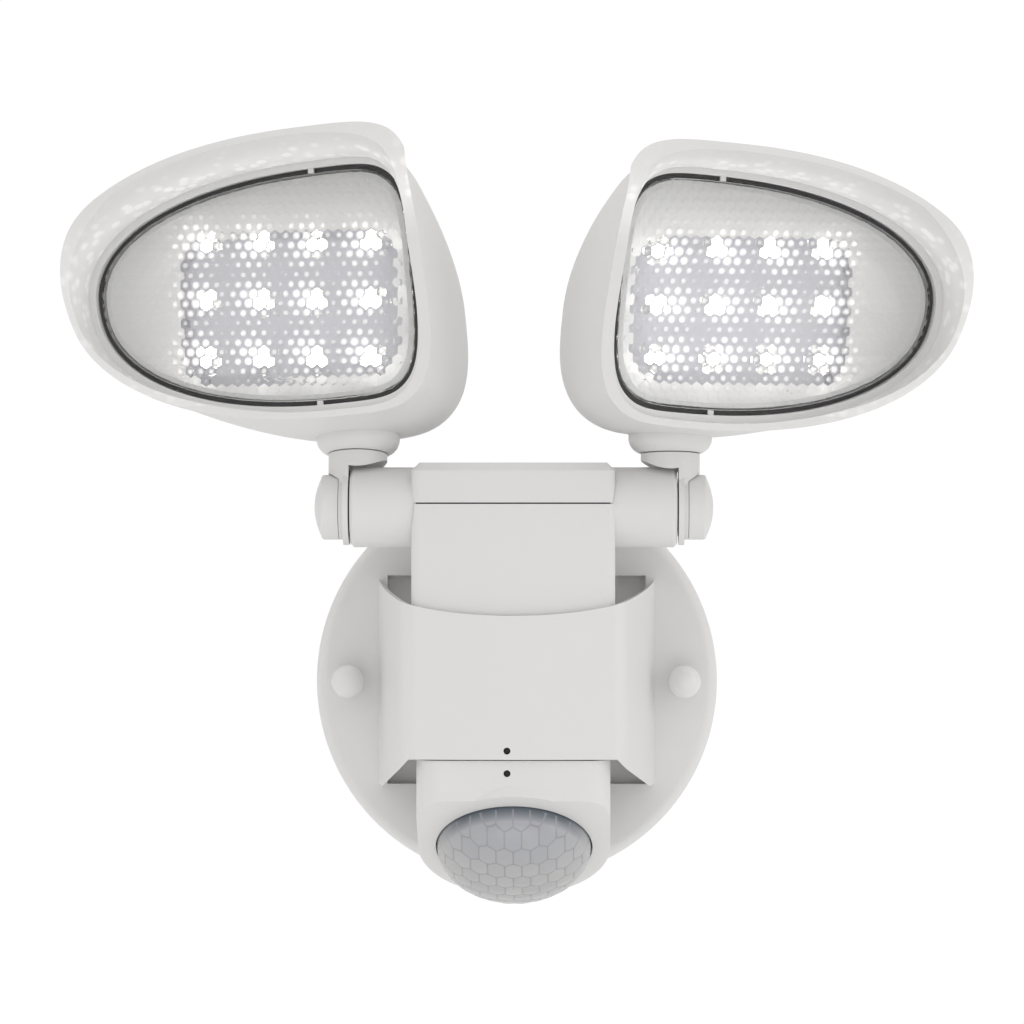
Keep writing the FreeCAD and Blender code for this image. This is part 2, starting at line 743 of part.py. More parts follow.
def visor_egg(part, w, inset=0.0):
    """A slice of the visor, from part = 0 at its root to part = 1 at its full reach."""
    lag = 4 * visor_flare * part * (1 - part) + inset

    def grow(end):
        return visor_grow_start + (end - visor_grow_start) * part - lag

    extra = visor_inner_extra * inset / visor_wall
    return egg(lens_nose + grow(visor_grow_nose), lens_inner + grow(visor_grow_inner) - extra,
               lens_up + grow(visor_grow_up), lens_down + grow(visor_grow_down),
               lens_centre_u, lens_centre_v, w)


def shell_section(s, inset=0.0):
    """A slice of the shell's back, from s = 0 at the lens to s = 1 at the very back. The nose draws in
    first, the top slopes down, the inner side stays full, and the slices close like an ellipse."""
    grow = shell_grow - inset
    close = math.sqrt(1 - s ** 3)
    full = (1 - s ** 6) ** 0.4
    taper = s ** shell_taper_power
    w = lens_plane - s * (lens_plane - shell_back - inset)
    return egg((lens_nose + grow) * (1 - shell_nose_taper * taper) * close,
               (lens_inner + grow) * full,
               (lens_up + grow) * (1 - shell_top_taper * taper) * close,
               (lens_down + grow) * close,
               lens_centre_u, lens_centre_v - shell_drop * taper, w,
               nose_power + 0.2 * s, inner_power - 1.6 * s)


def rim_cutter():
    """Everything in front of the visor's edge: an arc seen from the side, swept outwards and forwards."""
    def at(v, rise):
        return Vector(-BIG / 4, -(lens_plane + rise - rim_slope * (BIG / 4 - lens_inner)), v)
    low, high = lens_centre_v - lens_down, lens_centre_v + lens_up + rim_over
    span = high - low
    drop = at(low - span, rim_low - rim_mid * 0.3)
    front = [drop, at(low, rim_low), (at(lens_centre_v, rim_mid), at(high, rim_high)),
             at(high + span, rim_high + (rim_high - rim_mid) * 1.4),
             Vector(-BIG / 4, -BIG, high + span), Vector(-BIG / 4, -BIG, low - span)]
    return extruded(front, Vector(BIG / 2, -BIG / 2 * rim_slope, 0))


def shell_outside():
    """The moulding's outer form, with the visor at its full reach all round."""
    halfway = lens_plane + (visor_start + visor_reach) / 2
    sections = [visor_egg(1, lens_plane + visor_reach), visor_egg(0.5, halfway),
                visor_egg(0, lens_plane + visor_start)]
    return Part.makeLoft(sections + [shell_section(s) for s in (0,) + shell_steps], True)


def visor_inside():
    """The rooms in front of the step that carries the lens: the lens's pocket, then the bezel's flat step
    and a straight run inside the visor, then a flare like the outside."""
    ledge = lens_plane - lens_thickness - lens_back_gap
    bezel = lens_plane + bezel_rise
    root = lens_plane + visor_start
    window = Part.makeLoft([lens_egg(-lens_gap, ledge - step_depth), lens_egg(-lens_gap, ledge + 1)],
                           True, True)
    pocket = Part.makeLoft([lens_egg(lens_gap, ledge), lens_egg(lens_gap, root)], True, True)
    run = Part.makeLoft([visor_egg(0, bezel, visor_wall), visor_egg(0, root, visor_wall)], True, True)
    halfway = lens_plane + (visor_start + visor_reach) / 2
    flare = Part.makeLoft([visor_egg(0, root, visor_wall), visor_egg(0.5, halfway, visor_wall),
                           visor_egg(1, lens_plane + visor_reach, visor_wall)], True)
    return window, pocket, run, flare


def lens_keys():
    """Two small tabs that bridge the gap round the lens, one above it and one below."""
    front = lens_plane - key_back
    back = front - key_depth
    u = lens_centre_u + key_at
    slab = box(u - key_width / 2, u + key_width / 2, -front, -back,
               lens_centre_v - BIG / 4, lens_centre_v + BIG / 4)
    outer = Part.makeLoft([lens_egg(lens_gap + seam, back), lens_egg(lens_gap + seam, front)], True, True)
    lens_edge = seam - lens_inset
    lens = Part.makeLoft([lens_egg(lens_edge, back), lens_egg(lens_edge, front)], True, True)
    return slab.common(outer).cut(lens)


def head_shell():
    outside = shell_outside()
    inside = Part.makeLoft([shell_section(s, shell_wall) for s in (0.09,) + shell_steps[:-1]], True)
    for place in post_places():
        inside = inside.cut(rod(post_radius, place - Y * board_back(), place + Y * BIG / 8))
    body = outside.cut(inside)
    for place in post_places():
        front = place - Y * board_back()
        body = body.cut(rod(screw_radius + thread_clearance, front, front + Y * (board_screw_length - 1)))
    for room in visor_inside():
        body = body.cut(room)
    body = body.cut(rim_cutter()).fuse(lens_keys())
    foot = cup().cut(pitched(inside.fuse(outside)))
    boss = cup_boss().common(pitched(outside))
    body = pitched(body).fuse(foot).fuse(boss)
    return body.cut(rod(neck_radius + pivot_clearance, Z * 0, Z * (cup_boss_top + 1)))


def pitched(shape):
    """Turns a piece of the head to where it sits on the cup, looking a little down."""
    out = shape.copy()
    out.rotate(Z * cup_boss_top, X, head_pitch)
    return out


def cup():
    """The bowl under the head that turns on the stem, and the boss inside it."""
    foot = stem_height + cup_gap
    top = foot + cup_height
    bulge = cup_foot_radius + (cup_top_radius - cup_foot_radius) * 0.75
    bowl = Part.Face(Part.Wire([
        Part.LineSegment(Vector(0, 0, foot), Vector(cup_foot_radius, 0, foot)).toShape(),
        Part.Arc(Vector(cup_foot_radius, 0, foot),
                 Vector(bulge, 0, foot + cup_height * 0.4),
                 Vector(cup_top_radius, 0, top)).toShape(),
        Part.LineSegment(Vector(cup_top_radius, 0, top), Vector(cup_top_radius, 0, cup_boss_top)).toShape(),
        Part.LineSegment(Vector(cup_top_radius, 0, cup_boss_top), Vector(0, 0, cup_boss_top)).toShape(),
        Part.LineSegment(Vector(0, 0, cup_boss_top), Vector(0, 0, foot)).toShape(),
    ]))
    return bowl.revolve(Vector(0, 0, 0), Z, 360)


def cup_boss():
    return rod(cup_top_radius, Z * (stem_height + cup_gap + cup_height), Z * cup_boss_top)


def head_lens():
    back = lens_plane - lens_thickness
    return Part.makeLoft([lens_egg(-lens_inset, back), lens_egg(-lens_inset, lens_plane)], True, True)


def head_gasket():
    front = lens_plane - gasket_recess
    back = front - gasket_ring_depth
    outer = gasket_ring_width - lens_inset - gasket_ring_gap
    inner = gasket_ring_gap - lens_inset
    body = Part.makeLoft([lens_egg(outer, back), lens_egg(outer, front)], True, True)
    hole = Part.makeLoft([lens_egg(inner, back - 1), lens_egg(inner, front + 1)], True, True)
    return body.cut(hole)


def board_front():
    return lens_plane - board_set_back


def board_back():
    return board_front() - board_thickness


def post_places():
    """The four screw posts behind the LED board, as points in the plane of the stem's axis."""
    across = board_width / 2 - post_inset
    up = board_height / 2 - post_inset
    return [Vector(led_centre_u + a * across, 0, led_centre_v + b * up)
            for a in (-1, 1) for b in (-1, 1)]


def window_egg(grow, w):
    """The reflector's window round the LEDs: nearly a rectangle."""
    half_u = board_width / 2 - window_inset + grow
    half_v = board_height / 2 - window_inset + grow
    return egg(half_u, half_u, half_v, half_v, led_centre_u, led_centre_v, w,
               window_power, window_power, 0.0)


def head_reflector():
    """White tray between the lens and the LED board, with a flange against the lens."""
    front = lens_plane - lens_thickness - reflector_gap
    rear = board_front() + reflector_lift
    flange = lens_egg(-lens_gap - reflector_gap, front)
    flange_back = lens_egg(-lens_gap - reflector_gap, front - reflector_wall)
    body = Part.makeLoft([flange, flange_back], True, True)
    rim = -lens_gap - reflector_gap - tray_margin
    outside = Part.makeLoft([lens_egg(rim, front - reflector_wall / 2), window_egg(reflector_wall, rear)],
                            True, True)
    inside = Part.makeLoft([lens_egg(rim - reflector_wall, front + 0.01), window_egg(0.0, rear - 0.01)],
                           True, True)
    return body.fuse(outside).cut(inside).removeSplitter()


def head_led_board():
    w = board_front()
    board = box(led_centre_u - board_width / 2, led_centre_u + board_width / 2, -w, -w + board_thickness,
                led_centre_v - board_height / 2, led_centre_v + board_height / 2)
    for place in post_places():
        front, back = place - Y * (w + 1), place - Y * (board_back() - 1)
        board = board.cut(rod(screw_radius + thread_clearance, front, back))
    return board


def head_board_screws():
    w = board_front()
    return [pan_screw(place - Y * w, place - Y * (w - board_screw_length), board_screw_head)
            for place in post_places()]


def head_leds():
    w = board_front()
    chips = []
    for column in range(led_columns):
        for row in range(led_rows):
            u = led_centre_u + (column - (led_columns - 1) / 2) * led_pitch_u
            v = led_centre_v + led_rise + (row - (led_rows - 1) / 2) * led_pitch_v
            half = led_size / 2
            chips.append(box(u - half, u + half, -w - led_height, -w, v - half, v + half))
    return chips


def head_heat_sink():
    """Finned aluminium plate behind the LED board."""
    back = -board_back()
    u0 = led_centre_u - board_width / 2 + sink_inset
    v0 = led_centre_v - sink_height / 2
    sink = box(u0, u0 + sink_width, back, back + sink_plate, v0, v0 + sink_height)
    step = (sink_width - sink_fin_thickness) / (sink_fins - 1)
    for i in range(sink_fins):
        u = u0 + i * step
        sink = sink.fuse(box(u, u + sink_fin_thickness, back, back + sink_plate + sink_fin,
                             v0, v0 + sink_height))
    return sink.removeSplitter()


# ---------------------------------------------------------------- motion sensor
def ring_normal():
    """Where the sensor looks: forwards and down."""
    a = math.radians(ring_tilt)
    return Vector(0, -math.cos(a), -math.sin(a))


def ring_centre():
    return Vector(0, ring_y, ring_z)


def sensor_column(inset, z0, z1):
    """Plan of the sensor's housing: half round at the back, about the pan axis, and square with rounded
    corners at the front."""
    half = sensor_half_width - inset
    front = sleeve_front + sensor_front_gap + inset
    back = rod(half, Vector(0, pan_y, z0), Vector(0, pan_y, z1))
    back = back.common(box(-half, half, pan_y, pan_y + half, z0, z1))
    block = box(-half, half, front, pan_y, z0, z1)
    block = block.makeFillet(sensor_corner - inset / 2, upright_edges(block, front - 0.1, front + 0.1))
    return back.fuse(block).removeSplitter()


def behind_ring(back_off):
    """A half space behind the ring's face."""
    n = ring_normal()
    reach = BIG / 2
    slab = Part.makeBox(2 * reach, 2 * reach, reach)
    corner = ring_centre() - n * (back_off + reach) - X * reach - n.cross(X) * reach
    slab.Placement = FreeCAD.Placement(corner, FreeCAD.Rotation(X, n.cross(X), n, "XYZ"))
    return slab


def sensor_housing():
    n = ring_normal()
    c = ring_centre()
    low = ring_z - sensor_half_width
    column = sensor_column(0, low, sensor_top)
    barrel = rod(sensor_half_width, c, c - n * barrel_length)
    below_top = box(-BIG / 4, BIG / 4, -BIG / 2, BIG / 4, low - BIG / 10, sensor_top)
    outside = column.fuse(barrel.common(below_top)).common(behind_ring(0)).common(barrel_reach())
    hollow = sensor_column(sensor_wall, low, sensor_top - sensor_wall)
    bore = rod(sensor_half_width - sensor_wall, c - n * sensor_wall, c - n * barrel_length)
    hollow = hollow.fuse(bore.common(below_top)).common(behind_ring(sensor_wall))
    hollow = hollow.common(barrel_reach(sensor_wall))
    body = outside.cut(hollow)
    body = body.cut(rod(dome_radius + dome_clearance, c + n * 5, c - n * (sensor_wall + 1)))
    neck_top_z = arm_bottom + arm_wall + retainer_gap + pan_collar_thickness + pan_neck_past_collar
    body = body.fuse(rod(pan_neck_radius, Vector(0, pan_y, sensor_top - 1), Vector(0, pan_y, neck_top_z)))
    body = body.cut(rod(pan_neck_bore, Vector(0, pan_y, sensor_top - sensor_wall - 1),
                        Vector(0, pan_y, neck_top_z)))
    mark = Vector(mark_offset, sleeve_front + sensor_front_gap, -sleeve_lip - mark_gap_below_lip)
    body = body.cut(rod(mark_radius, mark - Y, mark + Y * mark_depth))
    body = body.cut(control_openings())
    return largest(body)


def barrel_reach(inset=0.0):
    """Limits the column to the barrel's width near the ring, so that the lower edge follows the ring."""
    n = ring_normal()
    c = ring_centre()
    tube_part = rod(sensor_half_width - inset, c + n, c - n * BIG / 5)
    above = box(-BIG / 4, BIG / 4, -BIG / 2, BIG / 4, ring_z, BIG / 4)
    return tube_part.fuse(above)


def control_openings():
    """A round hole for the range dial and a slot for the time switch, in the housing's back."""
    y = pan_y + sensor_half_width
    z = sensor_top - control_drop
    inner, outer = y - control_depth, y + control_depth
    dial = rod(dial_radius + control_clearance, Vector(dial_offset, outer, z),
               Vector(dial_offset, inner, z))
    half = switch_width / 2 + control_clearance
    tall = (switch_height + switch_travel) / 2 + control_clearance
    gate = box(-dial_offset - half, -dial_offset + half, inner, outer, z - tall, z + tall)
    return dial.fuse(gate)


def range_dial():
    """A round knob with a screwdriver slot, on a shaft from the sensor's board."""
    z = sensor_top - control_drop
    face = control_face()
    knob = rod(dial_radius, Vector(dial_offset, face, z),
               Vector(dial_offset, face - dial_height - dial_rim, z))
    shaft = rod(dial_shaft_radius, Vector(dial_offset, face - dial_height, z),
                Vector(dial_offset, control_board_y() + control_board_gap, z))
    groove = box(dial_offset - dial_slot_half_length, dial_offset + dial_slot_half_length,
                 face - dial_slot_depth, face + 1, z - dial_slot_half_width, z + dial_slot_half_width)
    return knob.fuse(shaft).cut(groove).removeSplitter()


def control_face():
    """Depth of the controls' outer faces: just proud of the round back wall at their offset."""
    return pan_y + math.sqrt(sensor_half_width ** 2 - dial_offset ** 2) + control_boss


def control_board_y():
    return control_face() - control_depth


def time_switch():
    """A ribbed slider in its slot."""
    z = sensor_top - control_drop
    face = control_face()
    half = switch_width / 2
    tall = switch_height / 2
    slider = box(-dial_offset - half, -dial_offset + half, control_board_y() + control_board_gap, face,
                 z - tall, z + tall)
    for i in (-1, 0, 1):
        middle = z + i * rib_pitch
        slider = slider.cut(box(-dial_offset - half, -dial_offset + half, face - rib_groove_depth, face + 1,
                                middle - rib_groove_half, middle + rib_groove_half))
    return slider


def control_board():
    z = sensor_top - control_drop
    y = control_board_y()
    half, tall = control_board_half_width, control_board_half_height
    return box(-half, half, y - control_board_thickness, y, z - tall, z + tall)


def dome_profile(radius, rise, along_start):
    """Half an ellipse from the rim to the crown, in the plane of +X and the ring's normal."""
    n = ring_normal()
    c = ring_centre() + n * along_start
    pts = []
    for i in range(9):
        a = math.pi / 2 * i / 8
        pts.append(c + X * (radius * math.cos(a)) + n * (rise * math.sin(a)))
    curve = Part.BSplineCurve()
    curve.interpolate(Points=pts, InitialTangent=n, FinalTangent=X * -1)
    return curve.toShape(), pts[0], pts[-1]


def sensor_lens():
    """Domed lens with a flange behind the ring."""
    n = ring_normal()
    c = ring_centre()
    back = -sensor_wall - part_line
    outer, rim_out, crown_out = dome_profile(dome_radius, dome_rise, 0)
    inner, rim_in, crown_in = dome_profile(dome_radius - dome_wall, dome_rise - dome_wall, 0)
    flange_r = dome_radius + dome_flange
    low = back - dome_flange_thickness
    corners = [rim_out, rim_out + n * back, c + X * flange_r + n * back, c + X * flange_r + n * low,
               rim_in + n * low, rim_in]
    edges = [outer]
    for a, b in zip(corners, corners[1:]):
        edges.append(Part.LineSegment(a, b).toShape())
    edges.append(inner)
    edges.append(Part.LineSegment(crown_in, crown_out).toShape())
    face = Part.Face(Part.Wire(Part.__sortEdges__(edges)))
    return face.revolve(c, n, 360)


def lens_clamp():
    """Ring that holds the dome's flange against the housing."""
    n = ring_normal()
    c = ring_centre()
    at = c - n * clamp_front()
    outer = sensor_half_width - sensor_wall - clamp_side_gap
    return ring(outer, clamp_window, at, at - n * clamp_thickness)


def clamp_front():
    """How far behind the ring's face the clamp starts."""
    return sensor_wall + part_line + dome_flange_thickness + clamp_gap


def sensor_board():
    n = ring_normal()
    at = ring_centre() - n * sensor_board_set_back
    board = rod(sensor_board_radius, at, at - n * sensor_board_thickness)
    for k in range(3):
        a = 2 * math.pi * k / 3 + math.pi / 2
        side = X * math.cos(a) + n.cross(X) * math.sin(a)
        foot = at + side * (sensor_board_radius - sensor_post_radius - sensor_post_edge)
        clamp_back = clamp_front() + clamp_thickness
        board = board.fuse(rod(sensor_post_radius, foot, foot + n * (sensor_board_set_back - clamp_back)))
    return board


def pir_detector():
    n = ring_normal()
    at = ring_centre() - n * sensor_board_set_back
    can = rod(pir_radius, at, at + n * pir_height)
    brim = rod(pir_radius + pir_brim, at, at + n * pir_brim_thickness)
    return can.fuse(brim).removeSplitter()


def pan_collar():
    """Ring that holds the sensor's neck in the arm."""
    z = arm_bottom + arm_wall + retainer_gap
    return ring(pan_collar_radius, pan_neck_radius + thread_clearance, Vector(0, pan_y, z),
                Vector(0, pan_y, z + pan_collar_thickness))


# ---------------------------------------------------------------- placing and writing
def placed(shape, side, lean, yaw):
    """Takes a piece from the head's own frame to its place on the left (-1) or the right (1) arm."""
    out = shape.copy()
    if side < 0:
        out = out.mirror(Vector(0, 0, 0), X)
    out.rotate(Vector(0, 0, 0), Z, side * yaw)
    out.rotate(Vector(0, 0, 0), X, -lean)
    out.translate(Vector(side * stem_offset, tube_y, tube_z))
    return out


def write(name, shape):
    """One STEP file; a list becomes a group of separate solids."""
    if isinstance(shape, list):
        shape = Part.makeCompound([largest(s) for s in shape])
    elif shape.ShapeType != "Compound" or len(shape.Solids) == 1:
        shape = largest(shape)
    assert shape.isValid(), name
    shape.exportStep("parts/%s.step" % name)
    counts = (name, len(shape.Solids), len(shape.Faces), shape.Volume)
    print("%-24s solids %d faces %4d volume %.0f" % counts)


def main():
    os.makedirs("parts", exist_ok=True)
    fixed = {
        "canopy": canopy, "wall_gasket": wall_gasket, "mounting_plate": mounting_plate,
        "mounting_studs": mounting_studs, "cap_nuts": cap_nuts, "stud_seals": stud_seals,
        "arm_body": arm_body, "arm_cover": arm_cover, "cover_screws": cover_screws,
        "foot_screws": foot_screws, "driver_board": driver_board,
        "sensor_housing": sensor_housing, "sensor_lens": sensor_lens, "lens_clamp": lens_clamp,
        "sensor_board": sensor_board, "pir_detector": pir_detector, "pan_collar": pan_collar,
        "control_board": control_board, "range_dial": range_dial, "time_switch": time_switch,
    }
    for name, make in fixed.items():
        write(name, make())
    on_elbow = {"elbow": elbow, "tilt_seal": tilt_seal, "tilt_retainer": tilt_retainer,
                "pivot_cap": pivot_cap, "swivel_retainer": swivel_retainer}
    on_head = {"shell": head_shell, "lens": head_lens, "lens_gasket": head_gasket,
               "reflector": head_reflector, "led_board": head_led_board, "leds": head_leds,
               "heat_sink": head_heat_sink, "board_screws": head_board_screws}
    sides = {"left": (-1, left_lean, left_yaw), "right": (1, right_lean, right_yaw)}
    for name, make in list(on_elbow.items()) + list(on_head.items()):
        shape = make()
        if name in on_head and name != "shell":
            shape = [pitched(s) for s in shape] if isinstance(shape, list) else pitched(shape)
        for side_name, (side, lean, yaw) in sides.items():
            turn = yaw if name in on_head else 0.0
            if isinstance(shape, list):
                write("%s_%s" % (side_name, name), [placed(s, side, lean, turn) for s in shape])
            else:
                write("%s_%s" % (side_name, name), placed(shape, side, lean, turn))


main()
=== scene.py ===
"""Dresses the motion sensor security light: satin white mouldings, bead-patterned clear lenses over lit LEDs, a
segmented sensor dome, zinc fixings and foam and rubber seals, in a pale studio. Metres, +Z up, the wall at y = 0."""
import bmesh
import bpy
import math
import numpy as np
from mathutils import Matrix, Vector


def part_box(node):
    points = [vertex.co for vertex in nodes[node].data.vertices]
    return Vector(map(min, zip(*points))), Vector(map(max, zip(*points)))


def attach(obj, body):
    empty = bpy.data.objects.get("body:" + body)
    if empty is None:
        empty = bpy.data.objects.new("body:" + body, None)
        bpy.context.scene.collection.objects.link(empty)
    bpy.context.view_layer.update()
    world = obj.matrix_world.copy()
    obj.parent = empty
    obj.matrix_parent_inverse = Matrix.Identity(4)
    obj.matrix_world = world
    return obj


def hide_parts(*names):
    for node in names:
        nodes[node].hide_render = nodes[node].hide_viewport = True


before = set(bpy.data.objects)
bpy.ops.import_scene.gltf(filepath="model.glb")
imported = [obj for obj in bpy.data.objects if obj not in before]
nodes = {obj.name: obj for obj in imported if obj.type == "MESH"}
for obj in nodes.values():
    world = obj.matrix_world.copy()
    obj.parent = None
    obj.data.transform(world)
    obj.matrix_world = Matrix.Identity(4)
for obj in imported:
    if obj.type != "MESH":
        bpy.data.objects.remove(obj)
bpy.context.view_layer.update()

# ------------------------------------------------------------------ camera
# A long lens about 1.3 m from the canopy, level with the tilt joints and one degree to the right.
camera_distance = 1.300        # from the canopy's face
canopy_face_y = -0.016
camera_swing = math.radians(1.0)
aim_left_of_centre = 0.0013
camera_height = 0.0481
film_width = 0.036
millimetres_per_pixel = 0.285  # at the canopy's face
image_width_px = 1024

camera_data = bpy.data.cameras.new("photo_camera")
camera_data.sensor_width = film_width * 1000
camera_data.lens = (camera_distance * 1000 / millimetres_per_pixel) / image_width_px * film_width * 1000
camera_data.clip_start = 0.05
camera_data.clip_end = 50.0
camera = bpy.data.objects.new("photo_camera", camera_data)
camera.location = (camera_distance * math.sin(camera_swing) - aim_left_of_centre,
                   canopy_face_y - camera_distance * math.cos(camera_swing), camera_height)
camera.rotation_euler = (math.pi / 2, 0, camera_swing)
bpy.context.scene.collection.objects.link(camera)
bpy.context.scene.camera = camera

# ------------------------------------------------------------------ studio
# A seamless pale sweep: a floor that curves up into a backdrop, well behind the light, under soft lamps.
studio_white = (0.92, 0.92, 0.92, 1)
floor_z = -0.55
sweep_half_width = 6.0
sweep_front = -5.0
sweep_back = 2.6
sweep_radius = 1.2
sweep_top = 5.0
backdrop_brightness = 1.02
sky_tint = (1.0, 0.993, 0.983, 1)
sky_level = 0.525              # the room's brightness at the horizon and below it
sky_overhead = 1.04
sky_overhead_from = 0.7        # height of the direction, 1 straight up


def grid_faces(rows, cols, close_v=False, capped=False):
    """Quads between neighbours on a grid of rows and columns, closed round the columns if asked. Capped, the grid
    also gets a fan at its first row and one at its last, on two hub points that follow the grid's own."""
    index = np.arange(rows * cols).reshape(rows, cols)
    a = np.hstack([index, index[:, :1]]) if close_v else index
    faces = np.stack([a[:-1, :-1], a[:-1, 1:], a[1:, 1:], a[1:, :-1]], -1).reshape(-1, 4).tolist()
    if capped:
        hub = rows * cols
        faces += np.stack([a[0, 1:], a[0, :-1], np.full(cols, hub)], -1).tolist()
        faces += np.stack([a[-1, :-1], a[-1, 1:], np.full(cols, hub + 1)], -1).tolist()
    return faces


def grid_mesh(name, points, close_v=False, hubs=()):
    """A mesh on a grid of points (rows, columns, 3), with its two ends closed on the hubs if they are given."""
    rows, cols = points.shape[:2]
    mesh = bpy.data.meshes.new(name)
    verts = np.vstack([points.reshape(-1, 3)] + [np.asarray(hub)[None] for hub in hubs])
    mesh.from_pydata(verts.tolist(), [], grid_faces(rows, cols, close_v, len(hubs) == 2))
    mesh.update()
    return mesh


def add_object(name, mesh, material=None, smooth=True):
    """Links a mesh as an object at the origin, shaded smooth unless told otherwise."""
    obj = bpy.data.objects.new(name, mesh)
    bpy.context.scene.collection.objects.link(obj)
    if material:
        mesh.materials.append(material)
    mesh.polygons.foreach_set("use_smooth", [smooth] * len(mesh.polygons))
    return obj


def outward_faces(mesh):
    """Merges doubled vertices and turns every face outwards."""
    work = bmesh.new()
    work.from_mesh(mesh)
    bmesh.ops.remove_doubles(work, verts=work.verts, dist=1e-7)
    bmesh.ops.recalc_face_normals(work, faces=work.faces)
    work.to_mesh(mesh)
    work.free()


def sweep_profile(steps):
    """Floor, quarter circle, wall: y and z along the path."""
    turn = np.linspace(0, math.pi / 2, steps)
    y = np.concatenate([[sweep_front], sweep_back - sweep_radius + sweep_radius * np.sin(turn), [sweep_back]])
    z = np.concatenate([[floor_z], floor_z + sweep_radius * (1 - np.cos(turn)), [sweep_top]])
    return np.stack([y, z], -1)


backdrop_paint = bpy.data.materials.new("backdrop_paint")
backdrop_paint.use_nodes = True
backdrop_shader = backdrop_paint.node_tree.nodes["Principled BSDF"]
backdrop_shader.inputs["Base Color"].default_value = studio_white
backdrop_shader.inputs["Roughness"].default_value = 1.0
backdrop_glow = backdrop_paint.node_tree.nodes.new("ShaderNodeEmission")
backdrop_glow.inputs["Strength"].default_value = backdrop_brightness
backdrop_rays = backdrop_paint.node_tree.nodes.new("ShaderNodeLightPath")
backdrop_mix = backdrop_paint.node_tree.nodes.new("ShaderNodeMixShader")
backdrop_link = backdrop_paint.node_tree.links.new
backdrop_link(backdrop_rays.outputs["Is Camera Ray"], backdrop_mix.inputs[0])
backdrop_link(backdrop_shader.outputs[0], backdrop_mix.inputs[1])
backdrop_link(backdrop_glow.outputs[0], backdrop_mix.inputs[2])
backdrop_link(backdrop_mix.outputs[0], backdrop_paint.node_tree.nodes["Material Output"].inputs["Surface"])
profile = sweep_profile(24)
across = np.linspace(-sweep_half_width, sweep_half_width, 2)
sweep_points = np.stack([np.broadcast_to(across[None], (len(profile), 2)),
                         np.broadcast_to(profile[:, :1], (len(profile), 2)),
                         np.broadcast_to(profile[:, 1:], (len(profile), 2))], -1)
backdrop = add_object("backdrop", grid_mesh("backdrop", sweep_points), backdrop_paint)

world = bpy.data.worlds.new("soft_room")
bpy.context.scene.world = world
world.use_nodes = True
world.node_tree.nodes["Background"].inputs["Color"].default_value = sky_tint
sky_way = world.node_tree.nodes.new("ShaderNodeTexCoord")
sky_height = world.node_tree.nodes.new("ShaderNodeSeparateXYZ")
sky_strength = world.node_tree.nodes.new("ShaderNodeMapRange")
sky_strength.inputs["From Min"].default_value = 0.0
sky_strength.inputs["From Max"].default_value = sky_overhead_from
sky_strength.inputs["To Min"].default_value = sky_level
sky_strength.inputs["To Max"].default_value = sky_overhead
world.node_tree.links.new(sky_way.outputs["Generated"], sky_height.inputs[0])
world.node_tree.links.new(sky_height.outputs["Z"], sky_strength.inputs["Value"])
world.node_tree.links.new(sky_strength.outputs["Result"], world.node_tree.nodes["Background"].inputs["Strength"])
bpy.context.scene.view_settings.view_transform = "Standard"
bpy.context.scene.view_settings.look = "None"


def soft_lamp(name, place, aim, size, power):
    """A square area lamp at a place, turned to face the aim."""
    data = bpy.data.lights.new(name, "AREA")
    data.size = size
    data.energy = power
    lamp = bpy.data.objects.new(name, data)
    bpy.context.scene.collection.objects.link(lamp)
    lamp.location = place
    to_aim = np.array(aim) - np.array(place)
    yaw = math.atan2(to_aim[1], to_aim[0]) - math.pi / 2
    pitch = math.atan2(to_aim[2], math.hypot(to_aim[0], to_aim[1])) + math.pi / 2
    lamp.rotation_euler = (pitch, 0, yaw)
    return lamp


light_aim = (0, -0.05, 0.02)
soft_lamp("front_softbox", (-0.35, -2.3, 0.15), light_aim, 1.6, 0.8)
soft_lamp("left_softbox", (-2.2, -0.9, 0.5), light_aim, 1.4, 3.0)
soft_lamp("right_softbox", (2.2, -0.9, 0.4), light_aim, 1.4, 7.2)
soft_lamp("low_softbox", (0, -1.2, -0.5), light_aim, 0.9, 1.4)

# ------------------------------------------------------------------ white mouldings
# The canopy with its sleeve, the arm's two halves, the elbows, heads and sensor housing are injection moulded in
# one satin white plastic, with a very fine spark-eroded grain. They are CAD solids and keep their shapes.
white_plastic_colour = (0.745, 0.742, 0.738, 1)
white_plastic_roughness = 0.42
white_plastic_drift = 0.02
white_plastic_specular = 0.45
grain_cells_per_metre = 5200.0
grain_height = 0.0000022
flow_cells_per_metre = 22.0


def new_material(name, colour, roughness, metallic=0.0):
    """A node material with one Principled shader, and its nodes and links to build on."""
    material = bpy.data.materials.new(name)
    material.use_nodes = True
    tree = material.node_tree
    shader = tree.nodes["Principled BSDF"]
    shader.inputs["Base Color"].default_value = colour
    shader.inputs["Roughness"].default_value = roughness
    shader.inputs["Metallic"].default_value = metallic
    return material, tree, shader


def node_group(name, inputs, outputs):
    """An empty shader group. Each input is a name, a socket type and a default, each output a name and a type."""
    group = bpy.data.node_groups.new(name, "ShaderNodeTree")
    for label, kind, value in inputs:
        socket = group.interface.new_socket(label, in_out="INPUT", socket_type=kind)
        socket.default_value = value
    for label, kind in outputs:
        group.interface.new_socket(label, in_out="OUTPUT", socket_type=kind)
    entry = group.nodes.new("NodeGroupInput")
    leave = group.nodes.new("NodeGroupOutput")
    return group, entry, leave


